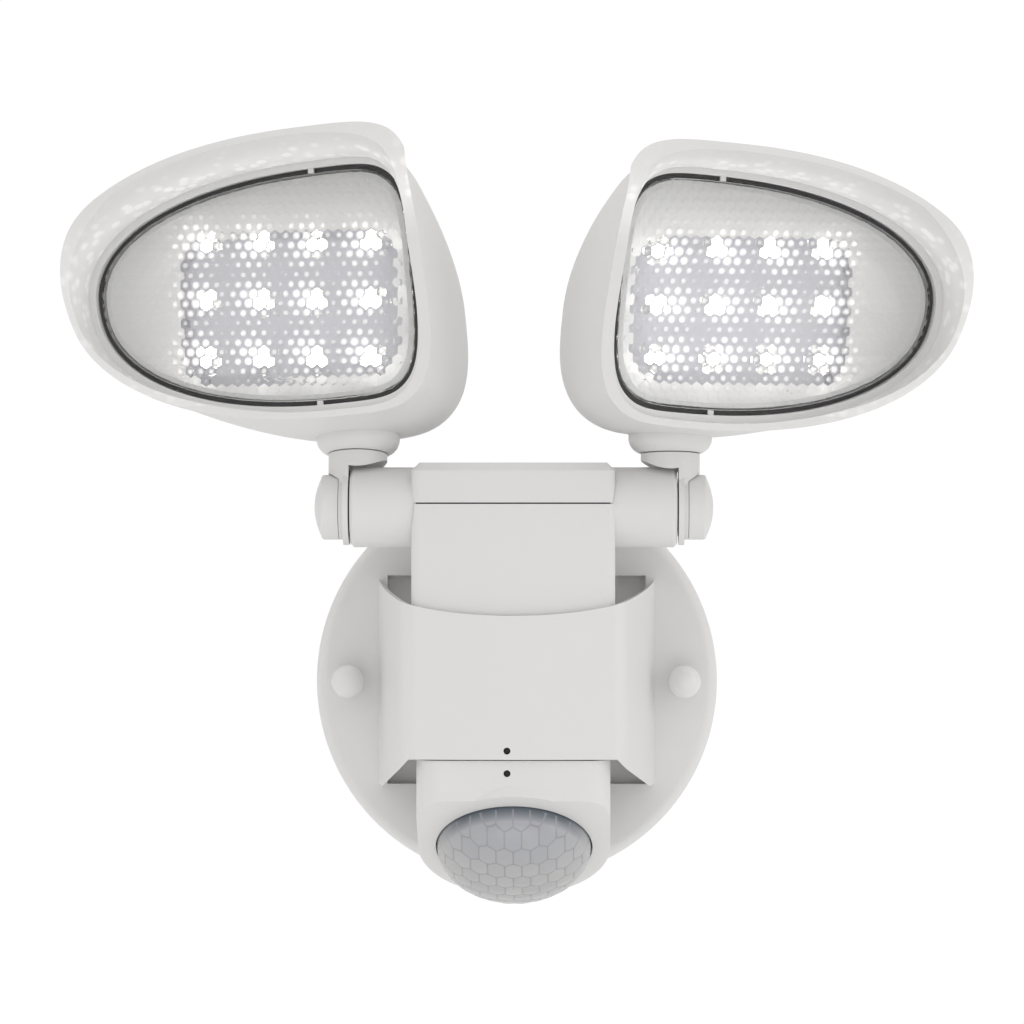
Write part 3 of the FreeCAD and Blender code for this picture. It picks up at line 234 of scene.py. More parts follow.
def build_moulded_skin():
    """Moulded skin: colour drifts slowly where the melt flowed, roughness follows it, and a fine grain
    stands a few microns high. Gives Colour, Roughness and Normal."""
    group, entry, leave = node_group(
        "moulded_skin",
        [("Colour", "NodeSocketColor", (1, 1, 1, 1)), ("Drift", "NodeSocketFloat", 0.03),
         ("Roughness", "NodeSocketFloat", 0.4), ("Grain Scale", "NodeSocketFloat", 5000.0),
         ("Grain Height", "NodeSocketFloat", 0.000002)],
        [("Colour", "NodeSocketColor"), ("Roughness", "NodeSocketFloat"), ("Normal", "NodeSocketVector")])
    add, link = group.nodes.new, group.links.new
    place = add("ShaderNodeTexCoord")
    flow = add("ShaderNodeTexNoise")
    flow.inputs["Scale"].default_value = flow_cells_per_metre
    flow.inputs["Detail"].default_value = 3.0
    link(place.outputs["Object"], flow.inputs["Vector"])
    centred = add("ShaderNodeMath")
    centred.operation = "SUBTRACT"
    centred.inputs[1].default_value = 0.5
    link(flow.outputs["Fac"], centred.inputs[0])
    swing = add("ShaderNodeMath")
    swing.operation = "MULTIPLY_ADD"
    swing.inputs[2].default_value = 1.0
    link(centred.outputs[0], swing.inputs[0])
    link(entry.outputs["Drift"], swing.inputs[1])
    tint = add("ShaderNodeVectorMath")
    tint.operation = "SCALE"
    link(entry.outputs["Colour"], tint.inputs[0])
    link(swing.outputs[0], tint.inputs["Scale"])
    link(tint.outputs[0], leave.inputs["Colour"])
    gloss = add("ShaderNodeMath")
    gloss.operation = "MULTIPLY"
    link(entry.outputs["Roughness"], gloss.inputs[0])
    link(swing.outputs[0], gloss.inputs[1])
    link(gloss.outputs[0], leave.inputs["Roughness"])
    grain = add("ShaderNodeTexNoise")
    grain.inputs["Detail"].default_value = 2.0
    link(place.outputs["Object"], grain.inputs["Vector"])
    link(entry.outputs["Grain Scale"], grain.inputs["Scale"])
    bump = add("ShaderNodeBump")
    bump.inputs["Strength"].default_value = 1.0
    link(entry.outputs["Grain Height"], bump.inputs["Distance"])
    link(grain.outputs["Fac"], bump.inputs["Height"])
    link(bump.outputs["Normal"], leave.inputs["Normal"])
    return group


moulded_skin = build_moulded_skin()


def moulded_material(name, colour, roughness, drift, grain=grain_height, scale=grain_cells_per_metre):
    """A plastic or rubber with the moulded skin on it."""
    material, tree, shader = new_material(name, colour, roughness)
    skin = tree.nodes.new("ShaderNodeGroup")
    skin.node_tree = moulded_skin
    skin.inputs["Colour"].default_value = colour
    skin.inputs["Roughness"].default_value = roughness
    skin.inputs["Drift"].default_value = drift
    skin.inputs["Grain Scale"].default_value = scale
    skin.inputs["Grain Height"].default_value = grain
    tree.links.new(skin.outputs["Colour"], shader.inputs["Base Color"])
    tree.links.new(skin.outputs["Roughness"], shader.inputs["Roughness"])
    tree.links.new(skin.outputs["Normal"], shader.inputs["Normal"])
    return material, tree, shader


def finish_nodes(material, *names):
    """Gives a CAD node, or the node of each side, its material."""
    for name in names:
        for key in (name, "left_" + name, "right_" + name):
            if key in nodes:
                slots = nodes[key].data.materials
                slots.clear()
                slots.append(material)


white_plastic, _, white_shader = moulded_material("satin_white_plastic", white_plastic_colour,
                                                  white_plastic_roughness, white_plastic_drift)
white_shader.inputs["Specular IOR Level"].default_value = white_plastic_specular
finish_nodes(white_plastic, "canopy", "arm_body", "arm_cover", "sensor_housing", "elbow")

# ------------------------------------------------------------------ head shells
# Each head's shell is one moulding with a flared visor. A soft glow and a scatter of small bright spots are painted
# as emission on the inside of the visor, strongest along its upper side: painted light for what the lit lens throws
# there.
# Painted light: where and how strongly a glow is painted, as emission, on the inside of each visor.
glow_near = 0.0012             # distances in front of the lens
glow_full = 0.0035
glow_fades = 0.0095
glow_ends = 0.0200
glow_side_start = -0.022       # heights beside the lens's middle
glow_side_full = 0.022
glow_at_low_side = 0.35
glow_facing_full = -0.12       # cosines between the surface's normal and the way out from the lens's axis
glow_facing_none = 0.02
glow_strength = 0.36
glow_tint = (1.0, 0.99, 0.955, 1)
plain_glow = 0.42              # between the spots
spot_cells_per_metre = 270.0
spot_core = 0.10
spot_edge = 0.50


def plate_axes(node):
    """A plate's own frame from its CAD mesh: its front face's points and middle, the directions across, up and
    out of the front, and its thickness. The thinnest way through its points is out of the front."""
    co = np.array([v.co for v in nodes[node].data.vertices])
    spread = np.linalg.svd(co - co.mean(0), full_matrices=False)[2]
    out = spread[2] if spread[2][1] < 0 else -spread[2]
    across_axis = np.cross(out, [0, 0, -1.0])
    across_axis /= np.linalg.norm(across_axis)
    up = np.cross(across_axis, out) * -1
    depth = co @ out
    face = co[depth > depth.max() - 0.0001]
    centre = face.mean(0)
    centre = centre + out * (depth.max() - centre @ out)
    return face, centre, across_axis, up, out, depth.max() - depth.min()


def build_painted_lens_glow():
    """Painted light on the visor: an emission colour by Object coordinates about the lens, standing for the light
    that the lit lens throws. It is zero behind the lens and outside the visor, fades forwards and downwards, and
    peaks in the cells' middles. Gives Colour."""
    group, entry, leave = node_group(
        "lens_light", [("Centre", "NodeSocketVector", (0, 0, 0)), ("Up", "NodeSocketVector", (0, 0, 1)),
                       ("Out", "NodeSocketVector", (0, -1, 0))], [("Colour", "NodeSocketColor")])
    add, link = group.nodes.new, group.links.new

    def vector_math(kind, first, second, second_socket=1):
        node = add("ShaderNodeVectorMath")
        node.operation = kind
        link(first, node.inputs[0])
        link(second, node.inputs[second_socket])
        return node

    def ramp(value, start, end, at_start=0.0, at_end=1.0):
        node = add("ShaderNodeMapRange")
        node.interpolation_type = "SMOOTHSTEP"
        for label, number in (("From Min", start), ("From Max", end), ("To Min", at_start), ("To Max", at_end)):
            node.inputs[label].default_value = number
        link(value, node.inputs["Value"])
        return node.outputs["Result"]

    def product(first, second):
        node = add("ShaderNodeMath")
        node.operation = "MULTIPLY"
        link(first, node.inputs[0])
        link(second, node.inputs[1])
        return node.outputs[0]

    place = add("ShaderNodeTexCoord")
    from_lens = vector_math("SUBTRACT", place.outputs["Object"], entry.outputs["Centre"]).outputs["Vector"]
    ahead = vector_math("DOT_PRODUCT", from_lens, entry.outputs["Out"]).outputs["Value"]
    above = vector_math("DOT_PRODUCT", from_lens, entry.outputs["Up"]).outputs["Value"]
    along = vector_math("SCALE", entry.outputs["Out"], ahead, "Scale").outputs["Vector"]
    sideways = vector_math("NORMALIZE", vector_math("SUBTRACT", from_lens, along).outputs["Vector"], along)
    facing = vector_math("DOT_PRODUCT", sideways.outputs["Vector"], place.outputs["Normal"]).outputs["Value"]
    mask = product(ramp(ahead, glow_near, glow_full), ramp(ahead, glow_fades, glow_ends, 1.0, 0.0))
    mask = product(mask, ramp(above, glow_side_start, glow_side_full, glow_at_low_side, 1.0))
    mask = product(mask, ramp(facing, glow_facing_full, glow_facing_none, 1.0, 0.0))
    cells = add("ShaderNodeTexVoronoi")
    cells.inputs["Scale"].default_value = spot_cells_per_metre
    link(place.outputs["Object"], cells.inputs["Vector"])
    spots = ramp(cells.outputs["Distance"], spot_core, spot_edge, 1.0, plain_glow)
    glow = add("ShaderNodeMix")
    glow.data_type = "RGBA"
    glow.inputs["A"].default_value = (0, 0, 0, 1)
    glow.inputs["B"].default_value = glow_tint
    link(product(mask, spots), glow.inputs["Factor"])
    link(glow.outputs["Result"], leave.inputs["Colour"])
    return group


lens_light = build_painted_lens_glow()
for side in ("left", "right"):
    shell_plastic, shell_tree, shell_shader = moulded_material(side + "_shell_plastic", white_plastic_colour,
                                                               white_plastic_roughness, white_plastic_drift)
    shell_shader.inputs["Specular IOR Level"].default_value = white_plastic_specular
    # The shell's emission is painted light: the glow and bright spots that the lit lens would throw on the visor.
    shell_shader.inputs["Emission Strength"].default_value = glow_strength
    _, lens_centre, _, lens_up, lens_out, _ = plate_axes(side + "_lens")
    painted_glow_node = shell_tree.nodes.new("ShaderNodeGroup")
    painted_glow_node.node_tree = lens_light
    painted_glow_node.inputs["Centre"].default_value = lens_centre
    painted_glow_node.inputs["Up"].default_value = lens_up
    painted_glow_node.inputs["Out"].default_value = lens_out
    shell_tree.links.new(painted_glow_node.outputs["Colour"], shell_shader.inputs["Emission Color"])
    finish_nodes(shell_plastic, side + "_shell")

# ------------------------------------------------------------------ alignment marks
# Two small dots filled with black paint, one in the sleeve's lip and one in the sensor housing below it. They
# line up when the sensor looks straight ahead.
mark_radius = 0.00093
mark_floor_depth = 0.0009
mark_crown = 0.0002
mark_x = -0.0016
sleeve_mark_z = -0.0168
sensor_mark_z = -0.0230
sensor_set_back = 0.0012       # the sensor's front, behind the sleeve's
mark_paint, _, _ = moulded_material("black_mark_paint", (0.006, 0.006, 0.007, 1), 0.5, drift=0.1)


def dot_mesh(name, centre, radius, crown):
    """A small round cushion that faces -Y: its height falls off with the square of the distance."""
    r = np.linspace(0.08, 1.0, 8)[:, None]
    t = np.linspace(0, 2 * np.pi, 33)[None, :-1]
    x = centre[0] + radius * r * np.cos(t)
    z = centre[2] + radius * r * np.sin(t)
    y = centre[1] - crown * (1 - r ** 2) + 0 * t
    back = np.stack([x[-1], np.full_like(x[-1], centre[1] + crown), z[-1]], -1)[None]
    points = np.concatenate([np.stack([x, y, z], -1), back])
    hub = (centre[0], centre[1] - crown, centre[2])
    mesh = grid_mesh(name, points, True, (hub, (centre[0], centre[1] + crown, centre[2])))
    outward_faces(mesh)
    return mesh


for piece, body, z, set_back in (("sleeve_mark", "base", sleeve_mark_z, 0),
                                 ("sensor_mark", "sensor", sensor_mark_z, sensor_set_back)):
    floor = (mark_x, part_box("canopy")[0].y + set_back + mark_floor_depth, z)
    dot = add_object(piece, dot_mesh(piece, floor, mark_radius, mark_crown), mark_paint)
    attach(dot, body)

# ------------------------------------------------------------------ pivot caps
# A low domed cap, moulded in the same white plastic, snaps into the end of each tilt joint.
cap_inner_face = 0.04805       # from the centre plane
cap_outer_face = 0.0548
cap_side_radius = 0.0089
cap_dome_rise = 0.0019
cap_corner = 0.0009


def cap_mesh(side, axis_y, axis_z):
    """A profile turned about the tilt axis: flat back, straight side, small round corner and low dome. The dome
    rises with the cosine of a quarter turn over the radius."""
    flat = cap_outer_face - cap_dome_rise - cap_corner
    corner = np.linspace(0, math.pi / 2, 7)
    inner_radius = cap_side_radius - cap_corner
    crown = np.linspace(0.08, 1, 14)[::-1]
    radius = np.concatenate([[inner_radius, cap_side_radius], inner_radius + cap_corner * np.cos(corner),
                             inner_radius * crown[1:]])
    x = np.concatenate([[cap_inner_face, cap_inner_face], flat + cap_corner * np.sin(corner),
                        flat + cap_corner + cap_dome_rise * (1 - crown[1:] ** 2)])
    t = np.linspace(0, 2 * np.pi, 73)[None, :-1]
    points = np.stack([side * x[:, None] + 0 * t, axis_y + radius[:, None] * np.cos(t),
                       axis_z + radius[:, None] * np.sin(t)], -1)
    hubs = ((side * cap_inner_face, axis_y, axis_z), (side * cap_outer_face, axis_y, axis_z))
    mesh = grid_mesh("pivot_cap", points, True, hubs)
    outward_faces(mesh)
    return mesh


for side_name, side in (("left", -1), ("right", 1)):
    low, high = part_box(side_name + "_pivot_cap")
    cap = add_object(side_name + "_cap", cap_mesh(side, (low.y + high.y) / 2, (low.z + high.z) / 2), white_plastic)
    cap.data.set_sharp_from_angle(angle=math.radians(50))
    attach(cap, side_name + "_elbow")
    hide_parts(side_name + "_pivot_cap")

# ------------------------------------------------------------------ foam gasket and rubber seals
# A closed-cell foam ring seals the canopy to the wall. Rubber rings seal the studs, the tilt joints and lenses.
rubber_pits = {"grain": 0.00003, "scale": 900.0}
foam_black, _, _ = moulded_material("foam_rubber", (0.022, 0.022, 0.023, 1), 0.85, drift=0.3, **rubber_pits)
finish_nodes(foam_black, "wall_gasket", "stud_seals", "tilt_seal")
lens_rubber, _, _ = moulded_material("lens_rubber", (0.055, 0.055, 0.056, 1), 0.7, drift=0.5, **rubber_pits)
finish_nodes(lens_rubber, "lens_gasket")

# ------------------------------------------------------------------ arm joint shade
# Thin flat strips of the same black rubber lie in the joint between the arm's body and its cover, in front and at the
# back, a little behind the faces, so that the joint reads as a dark line: painted shade, dark sheets standing for the
# shadow in the gap.
joint_low = 0.0503             # the body's rim
joint_high = 0.0507            # the cover's rim
joint_shade_air = 0.00002
joint_shade_set_in = 0.0004
joint_shade_depth = 0.0014
front_bow = 0.0014
front_corner = 0.0026
back_corner = 0.0001


def strip_mesh(name, half_length, corner, place_y, bow, turn):
    """A flat strip along X on a shallow arc, y rising by the bow times the square of x over the half length, and
    by a quarter circle round each corner."""
    straight = half_length - corner
    a = np.linspace(0, math.radians(80), 9)[1:]
    run = np.linspace(-straight, straight, 41)
    x = np.concatenate([(-straight - corner * np.sin(a))[::-1], run, straight + corner * np.sin(a)])
    rise = np.concatenate([(corner * (1 - np.cos(a)))[::-1], 0 * run, corner * (1 - np.cos(a))])
    y = bow * (x / half_length) ** 2 + rise
    ring_y = place_y + turn * np.stack([y, y + joint_shade_depth, y + joint_shade_depth, y], -1)
    low, high = joint_low + joint_shade_air, joint_high - joint_shade_air
    ring_z = np.broadcast_to(np.array([low, low, high, high]), ring_y.shape)
    ring_x = np.broadcast_to(x[:, None], ring_y.shape)
    points = np.stack([ring_x, ring_y, ring_z], -1)
    mesh = grid_mesh(name, points, True, (points[0].mean(0), points[-1].mean(0)))
    outward_faces(mesh)
    return mesh


arm_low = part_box("arm_body")[0]
cover_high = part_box("arm_cover")[1]
joint_shade_half = -arm_low.x - joint_shade_set_in
# Dark strips in the arm's joint: painted shade for the gap's shadow.
for name, corner, place_y, bow, turn in (
        ("front_arm_joint_shade", front_corner, arm_low.y + joint_shade_set_in, front_bow, 1),
        ("back_arm_joint_shade", back_corner, cover_high.y - joint_shade_set_in, 0.0, -1)):
    strip = add_object(name, strip_mesh(name, joint_shade_half, corner, place_y, bow, turn), foam_black, smooth=False)
    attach(strip, "base")

# ------------------------------------------------------------------ zinc fixings
# The cross plate, studs, screws, rings and the detector's can are steel, zinc plated: pale, slightly blue, faintly
# spangled.
zinc_colour = (0.56, 0.57, 0.59, 1)
spangle_cells_per_metre = 380.0
spangle_roughness = (0.26, 0.46)
zinc, zinc_tree, zinc_shader = new_material("zinc_plated_steel", zinc_colour, 0.36, 1.0)
zinc_place = zinc_tree.nodes.new("ShaderNodeTexCoord")
spangle = zinc_tree.nodes.new("ShaderNodeTexVoronoi")
spangle.inputs["Scale"].default_value = spangle_cells_per_metre
spangle_tone = zinc_tree.nodes.new("ShaderNodeMapRange")
spangle_tone.inputs["To Min"].default_value = spangle_roughness[0]
spangle_tone.inputs["To Max"].default_value = spangle_roughness[1]
zinc_tree.links.new(zinc_place.outputs["Object"], spangle.inputs["Vector"])
zinc_tree.links.new(spangle.outputs["Color"], spangle_tone.inputs["Value"])
zinc_tree.links.new(spangle_tone.outputs["Result"], zinc_shader.inputs["Roughness"])
finish_nodes(zinc, "mounting_plate", "mounting_studs", "cover_screws", "foot_screws", "board_screws",
             "tilt_retainer", "swivel_retainer", "pan_collar", "pir_detector")

# ------------------------------------------------------------------ ball nuts
# Two ball-headed nuts hold the canopy to its studs. They are enamelled to match it, a little glossier.
nut_enamel, _, _ = moulded_material("white_enamel", (0.76, 0.757, 0.752, 1), 0.25, drift=0.02,
                                    grain=0.000001, scale=1500.0)
finish_nodes(nut_enamel, "cap_nuts")

# ------------------------------------------------------------------ circuit boards
# Glass-fibre boards under a green solder mask: the driver in the arm and the sensor's two small boards.
board_green, _, _ = moulded_material("green_solder_mask", (0.02, 0.12, 0.05, 1), 0.3, drift=0.15,
                                     grain=0.000004, scale=1800.0)
finish_nodes(board_green, "driver_board", "sensor_board", "control_board")

# ------------------------------------------------------------------ LED boards, trays and sinks
# Behind each lens a white tray frames a lilac-grey board. The board is screwed, with its finned aluminium sink, to
# posts in the head.
led_board_white, _, _ = moulded_material("lilac_grey_solder_mask", (0.74, 0.74, 0.79, 1), 0.35, drift=0.05)
finish_nodes(led_board_white, "led_board")
tray_white, _, _ = moulded_material("tray_white", (0.92, 0.92, 0.91, 1), 0.5, drift=0.02)
finish_nodes(tray_white, "reflector")

cast_aluminium, _, sink_shader = moulded_material("bare_aluminium", (0.62, 0.62, 0.63, 1), 0.4, drift=0.08,
                                                  grain=0.000008, scale=900.0)
sink_shader.inputs["Metallic"].default_value = 1.0
finish_nodes(cast_aluminium, "heat_sink")

# ------------------------------------------------------------------ emitters
# Each emitter is a square white package with a clear dome over its lit phosphor. Packages are soldered to the board
# in three rows of four. Only the dome glows.
emitter_rows = 3
emitter_columns = 4
package_half = 0.0025
package_height = 0.0011
package_chamfer = 0.0001
package_power = 12             # of its superellipse, nearly a square
dome_foot_half = 0.0019
dome_height = 0.0005
emitter_glow = 9.0
phosphor_light = (1.0, 0.985, 0.955, 1)
unlit = (0.01, 0.01, 0.01, 1)


def row_middles(values, count):
    """Middles of a number of equal rows whose low and high edges are the extremes of the values."""
    span = (values.max() - values.min() - 2 * package_half) / (count - 1)
    return values.min() + package_half + span * np.arange(count)


def emitter_mesh(side):
    """All emitters of one head. Each is a profile turned about its own axis: a superellipse that goes from nearly a
    square at the package to a circle, power 2, at the dome. The attribute lit is 1 on the dome."""
    _, centre, across_axis, up, out, _ = plate_axes(side + "_led_board")
    co = np.array([v.co for v in nodes[side + "_leds"].data.vertices]) - centre
    bow = np.linspace(0, math.radians(84), 7)
    package = [package_half - package_chamfer / 2, package_half, package_half, package_half - package_chamfer]
    half = np.concatenate([package, [dome_foot_half * 1.1], dome_foot_half * np.cos(bow)])[:, None]
    lift = np.concatenate([[0, package_chamfer / 2, package_height - package_chamfer, package_height, package_height],
                           package_height + dome_height * np.sin(bow)])[:, None]
    power = np.where(np.arange(len(half)) < len(package), package_power, 2.0)[:, None]
    lit = np.concatenate([np.zeros(len(package) + 1), np.ones(len(bow))])[:, None]
    t = np.linspace(0, 2 * np.pi, 33)[None, :-1]
    r = half / (np.abs(np.cos(t)) ** power + np.abs(np.sin(t)) ** power) ** (1 / power)
    u, v, w = r * np.cos(t), r * np.sin(t), lift + 0 * t
    one = u[..., None] * across_axis + v[..., None] * up + w[..., None] * out
    one = np.vstack([one.reshape(-1, 3), 0 * out[None], (package_height + dome_height) * out[None]])
    spots = np.array([a * across_axis + b * up for a in row_middles(co @ across_axis, emitter_columns)
                      for b in row_middles(co @ up, emitter_rows)])
    faces = grid_faces(*u.shape, True, True)
    count = len(one)
    mesh = bpy.data.meshes.new(side + "_emitters")
    mesh.from_pydata((centre + spots[:, None] + one[None]).reshape(-1, 3).tolist(), [],
                     [[corner + k * count for corner in face] for k in range(len(spots)) for face in faces])
    mesh.update()
    glow = np.tile(np.concatenate([(lit + 0 * t).reshape(-1), [0, 1]]), len(spots)).astype(np.float32)
    mesh.attributes.new("lit", "FLOAT", "POINT").data.foreach_set("value", glow)
    return mesh


def layer_colour(tree, attribute, below, above):
    """Mixes from the colour below, a value or a socket, to the colour above by a mesh attribute."""
    amount = tree.nodes.new("ShaderNodeAttribute")
    amount.attribute_name = attribute
    mix = tree.nodes.new("ShaderNodeMix")
    mix.data_type = "RGBA"
    if isinstance(below, tuple):
        mix.inputs["A"].default_value = below
    else:
        tree.links.new(below, mix.inputs["A"])
    mix.inputs["B"].default_value = above
    tree.links.new(amount.outputs["Fac"], mix.inputs["Factor"])
    return mix.outputs["Result"]


emitter, emitter_tree, emitter_shader = new_material("lit_emitter", (0.93, 0.92, 0.88, 1), 0.35)
emitter_shader.inputs["Emission Strength"].default_value = emitter_glow
emitter_tree.links.new(layer_colour(emitter_tree, "lit", unlit, phosphor_light),
                       emitter_shader.inputs["Emission Color"])
for side in ("left", "right"):
    emitters_mesh = emitter_mesh(side)
    outward_faces(emitters_mesh)
    emitters = add_object(side + "_emitters", emitters_mesh, emitter)
    emitters_mesh.set_sharp_from_angle(angle=math.radians(40))
    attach(emitters, side + "_head")
    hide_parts(side + "_leds")

# ------------------------------------------------------------------ head lenses
# Clear moulded lenses, smooth outside. Inside, a honeycomb of small beads breaks each emitter into many images. These
# images are painted on the lens as emission: painted highlights light up the beads around an emitter, fully beside it
# and as shrinking dots further away.
bead_pitch = 0.0030
bead_radius = 0.0060
bead_edge_steepening = 12e6    # per cubic metre
# Painted highlights: the size, fall-off, strength and tint of the emission painted on the beads around each emitter.
spark_half = 0.00130           # radius of the lit middle of a bead right before an emitter
spark_shrinks = 0.135          # metres of that radius per metre from the emitter's axis
spark_soft = 0.0007
spark_fades = 0.0003
spark_glow = 0.72
spark_tint = (1.0, 0.99, 0.965, 1)
lens_grain_scale = 1100.0      # per metre
lens_grain_depth = 0.00006
plain_border = 0.0004
lens_chamfer = 0.0003
lens_half_size = 0.03          # roughly, for the chamfer's share
lens_grid = (190, 270)
lens_shade = (0.93, 0.93, 0.94, 1)


def outline_at(face, centre, across_axis, up, angles):
    """The face's outline as a distance from the centre at each angle, read between its CAD corners."""
    flat = np.stack([(face - centre) @ across_axis, (face - centre) @ up], -1)
    bearing = np.arctan2(flat[:, 1], flat[:, 0])
    order = np.argsort(bearing)
    radius = np.hypot(flat[:, 0], flat[:, 1])
    return np.interp(angles, bearing[order], radius[order], period=2 * np.pi)


def hex_distance(x, y, pitch, spacing=None):
    """How far each point lies from the nearest centre of a honeycomb, and from the next one. The honeycomb has a
    pitch along its rows, and its rows lie as far apart as is regular unless a spacing is given."""
    row = 2 * spacing if spacing else pitch * math.sqrt(3)
    near = []
    for shift_x, shift_y in ((0, 0), (pitch / 2, row / 2)):
        dx = (x - shift_x + pitch / 2) % pitch - pitch / 2
        dy = (y - shift_y + row / 2) % row - row / 2
        near += [np.hypot(dx, dy), np.hypot(dx - np.sign(dx) * pitch, dy)]
    near = np.sort(np.stack(near), 0)
    return near[0], near[1]


def bead_depth(distance):
    """A shallow crown that steepens towards the cell's edge: the square of the distance over twice the bead's
    radius, and a term that grows with its fourth power."""
    return distance ** 2 / (2 * bead_radius) + bead_edge_steepening * distance ** 4


def beaded_lens(node):
    """A plate on the CAD lens's outline. A square grid is stretched to the outline: a point's distance from the
    middle is the larger of its two coordinates times the outline's radius at its bearing. The attribute spark is 1 on
    a bead's middle as far out as that bead is lit; the lens's material paints it as emission, a painted highlight for
    the emitter's image in the bead."""
    face, centre, across_axis, up, out, thickness = plate_axes(node)
    a = np.linspace(-1, 1, lens_grid[0])[:, None] + np.zeros(lens_grid[1])
    b = np.linspace(-1, 1, lens_grid[1])[None] + np.zeros((lens_grid[0], 1))
    reach = np.maximum(np.abs(a), np.abs(b))
    bearing = np.arctan2(a, b)
    radius = outline_at(face, centre, across_axis, up, bearing)
    x, y = reach * radius * np.cos(bearing), reach * radius * np.sin(bearing)
    fade = np.clip((1 - reach) * radius / plain_border - 0.2, 0, 1)
    nearest = hex_distance(x, y, bead_pitch)[0]
    depth = thickness - bead_depth(nearest) * fade
    emitters = np.array([v.co for v in nodes[node.replace("lens", "leds")].data.vertices]) - centre
    to_column = np.abs(x[..., None] - row_middles(emitters @ across_axis, emitter_columns)).min(-1)
    to_row = np.abs(y[..., None] - row_middles(emitters @ up, emitter_rows)).min(-1)
    spark_radius = spark_half - spark_shrinks * np.hypot(to_column, to_row)
    painted_spark = np.clip((spark_radius - nearest) / spark_soft + 0.5, 0, 1) * fade
    painted_spark *= np.clip(spark_radius / spark_fades, 0, 1)
    back = centre + x[..., None] * across_axis + y[..., None] * up - depth[..., None] * out
    ring = np.concatenate([back[0, :-1], back[:-1, -1], back[-1, :0:-1], back[:0:-1, 0]])
    ring_front = ring + (thickness - lens_chamfer) * out
    inward = centre + (ring_front - centre) * (1 - lens_chamfer / lens_half_size)
    inward = inward - ((inward - centre) @ out)[:, None] * out
    rows, cols = lens_grid
    index = np.arange(rows * cols).reshape(rows, cols)
    edge = np.concatenate([index[0, :-1], index[:-1, -1], index[-1, :0:-1], index[:0:-1, 0]])
    count = len(edge)
    loops = [edge, rows * cols + np.arange(count), rows * cols + count + np.arange(count)]
    faces = grid_faces(rows, cols)
    for near, far in zip(loops, loops[1:]):
        faces += np.stack([near, far, np.roll(far, -1), np.roll(near, -1)], -1).tolist()
    faces.append(loops[2][::-1].tolist())
    mesh = bpy.data.meshes.new(node + "_beaded")
    mesh.from_pydata(np.vstack([back.reshape(-1, 3), ring_front, inward]).tolist(), [], faces)
    mesh.update()
    values = np.concatenate([painted_spark.reshape(-1), np.zeros(2 * count)]).astype(np.float32)
    mesh.attributes.new("painted_spark", "FLOAT", "POINT").data.foreach_set("value", values)
    return mesh


clear_lens, lens_tree, lens_shader = new_material("clear_beaded_lens", (1.0, 1.0, 1.0, 1), 0.04)
lens_shader.inputs["Transmission Weight"].default_value = 1.0
lens_shader.inputs["IOR"].default_value = 1.49
# The lens's emission is painted light: highlights on the beads around the emitters.
lens_shader.inputs["Emission Strength"].default_value = spark_glow
lens_tree.links.new(layer_colour(lens_tree, "painted_spark", (0, 0, 0, 1), spark_tint),
                    lens_shader.inputs["Emission Color"])
grain = lens_tree.nodes.new("ShaderNodeTexNoise")
grain.inputs["Scale"].default_value = lens_grain_scale
grain_place = lens_tree.nodes.new("ShaderNodeTexCoord")
grain_bump = lens_tree.nodes.new("ShaderNodeBump")
grain_bump.inputs["Distance"].default_value = lens_grain_depth
lens_tree.links.new(grain_place.outputs["Object"], grain.inputs["Vector"])
lens_tree.links.new(grain.outputs["Fac"], grain_bump.inputs["Height"])
lens_tree.links.new(grain_bump.outputs["Normal"], lens_shader.inputs["Normal"])
lens_output = lens_tree.nodes["Material Output"]
see_through = lens_tree.nodes.new("ShaderNodeBsdfTransparent")
see_through.inputs["Color"].default_value = lens_shade
light_path = lens_tree.nodes.new("ShaderNodeLightPath")
shadow_mix = lens_tree.nodes.new("ShaderNodeMixShader")
lens_tree.links.new(light_path.outputs["Is Shadow Ray"], shadow_mix.inputs[0])
lens_tree.links.new(lens_shader.outputs[0], shadow_mix.inputs[1])
lens_tree.links.new(see_through.outputs[0], shadow_mix.inputs[2])
lens_tree.links.new(shadow_mix.outputs[0], lens_output.inputs["Surface"])
for side in ("left", "right"):
    lens_mesh = beaded_lens(side + "_lens")
    outward_faces(lens_mesh)
    lens = add_object(side + "_beaded_lens", lens_mesh, clear_lens)
    lens_mesh.set_sharp_from_angle(angle=math.radians(50))
    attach(lens, side + "_head")
    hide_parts(side + "_lens")

# ------------------------------------------------------------------ sensor dome
# A milky polyethylene dome, pressed with rows of six-sided lens cells that show through it as a honeycomb. Its colour
# carries painted shade: the upper rows are darker and bluer, and the upper rim is darker still, for the dark inside
# showing through.
sensor_look = math.radians(55)          # below the horizontal
dome_radius = 0.0212
dome_rise = 0.0133
dome_wall = 0.0010
dome_flange = 0.0016
flange_back = 0.0025
flange_thickness = 0.0012
cell_column = 0.0047
cell_row = 0.0046
top_row = 0.0166               # its middle, above the dome's axis
row_flattening = 1.15          # higher than 1, the zigzag between rows gets shallower
cell_crown = 0.00014
border_half = 0.00016
# Painted shade: the upper rim darkens towards the dark inside colour, and the upper rows darken by a share of their
# height.
rim_shade_from = 0.955              # of the dome's radius
rim_shade_gain = 1.3
shaded_rows_from = 0.25          # heights over the dome's radius
shaded_rows_to = 0.75
shaded_rows_depth = 0.8
cell_variation = 0.2
dome_steps = (110, 396)
# Lit and shaded copies of the cell colour: the upper rows get the shaded one, as painted shade.
shaded_upper_cells = (0.50, 0.505, 0.54, 1)
lit_lower_cells = (0.585, 0.585, 0.585, 1)
painted_dark_inside = (0.15, 0.18, 0.21, 1)
cell_border = (0.40, 0.40, 0.425, 1)


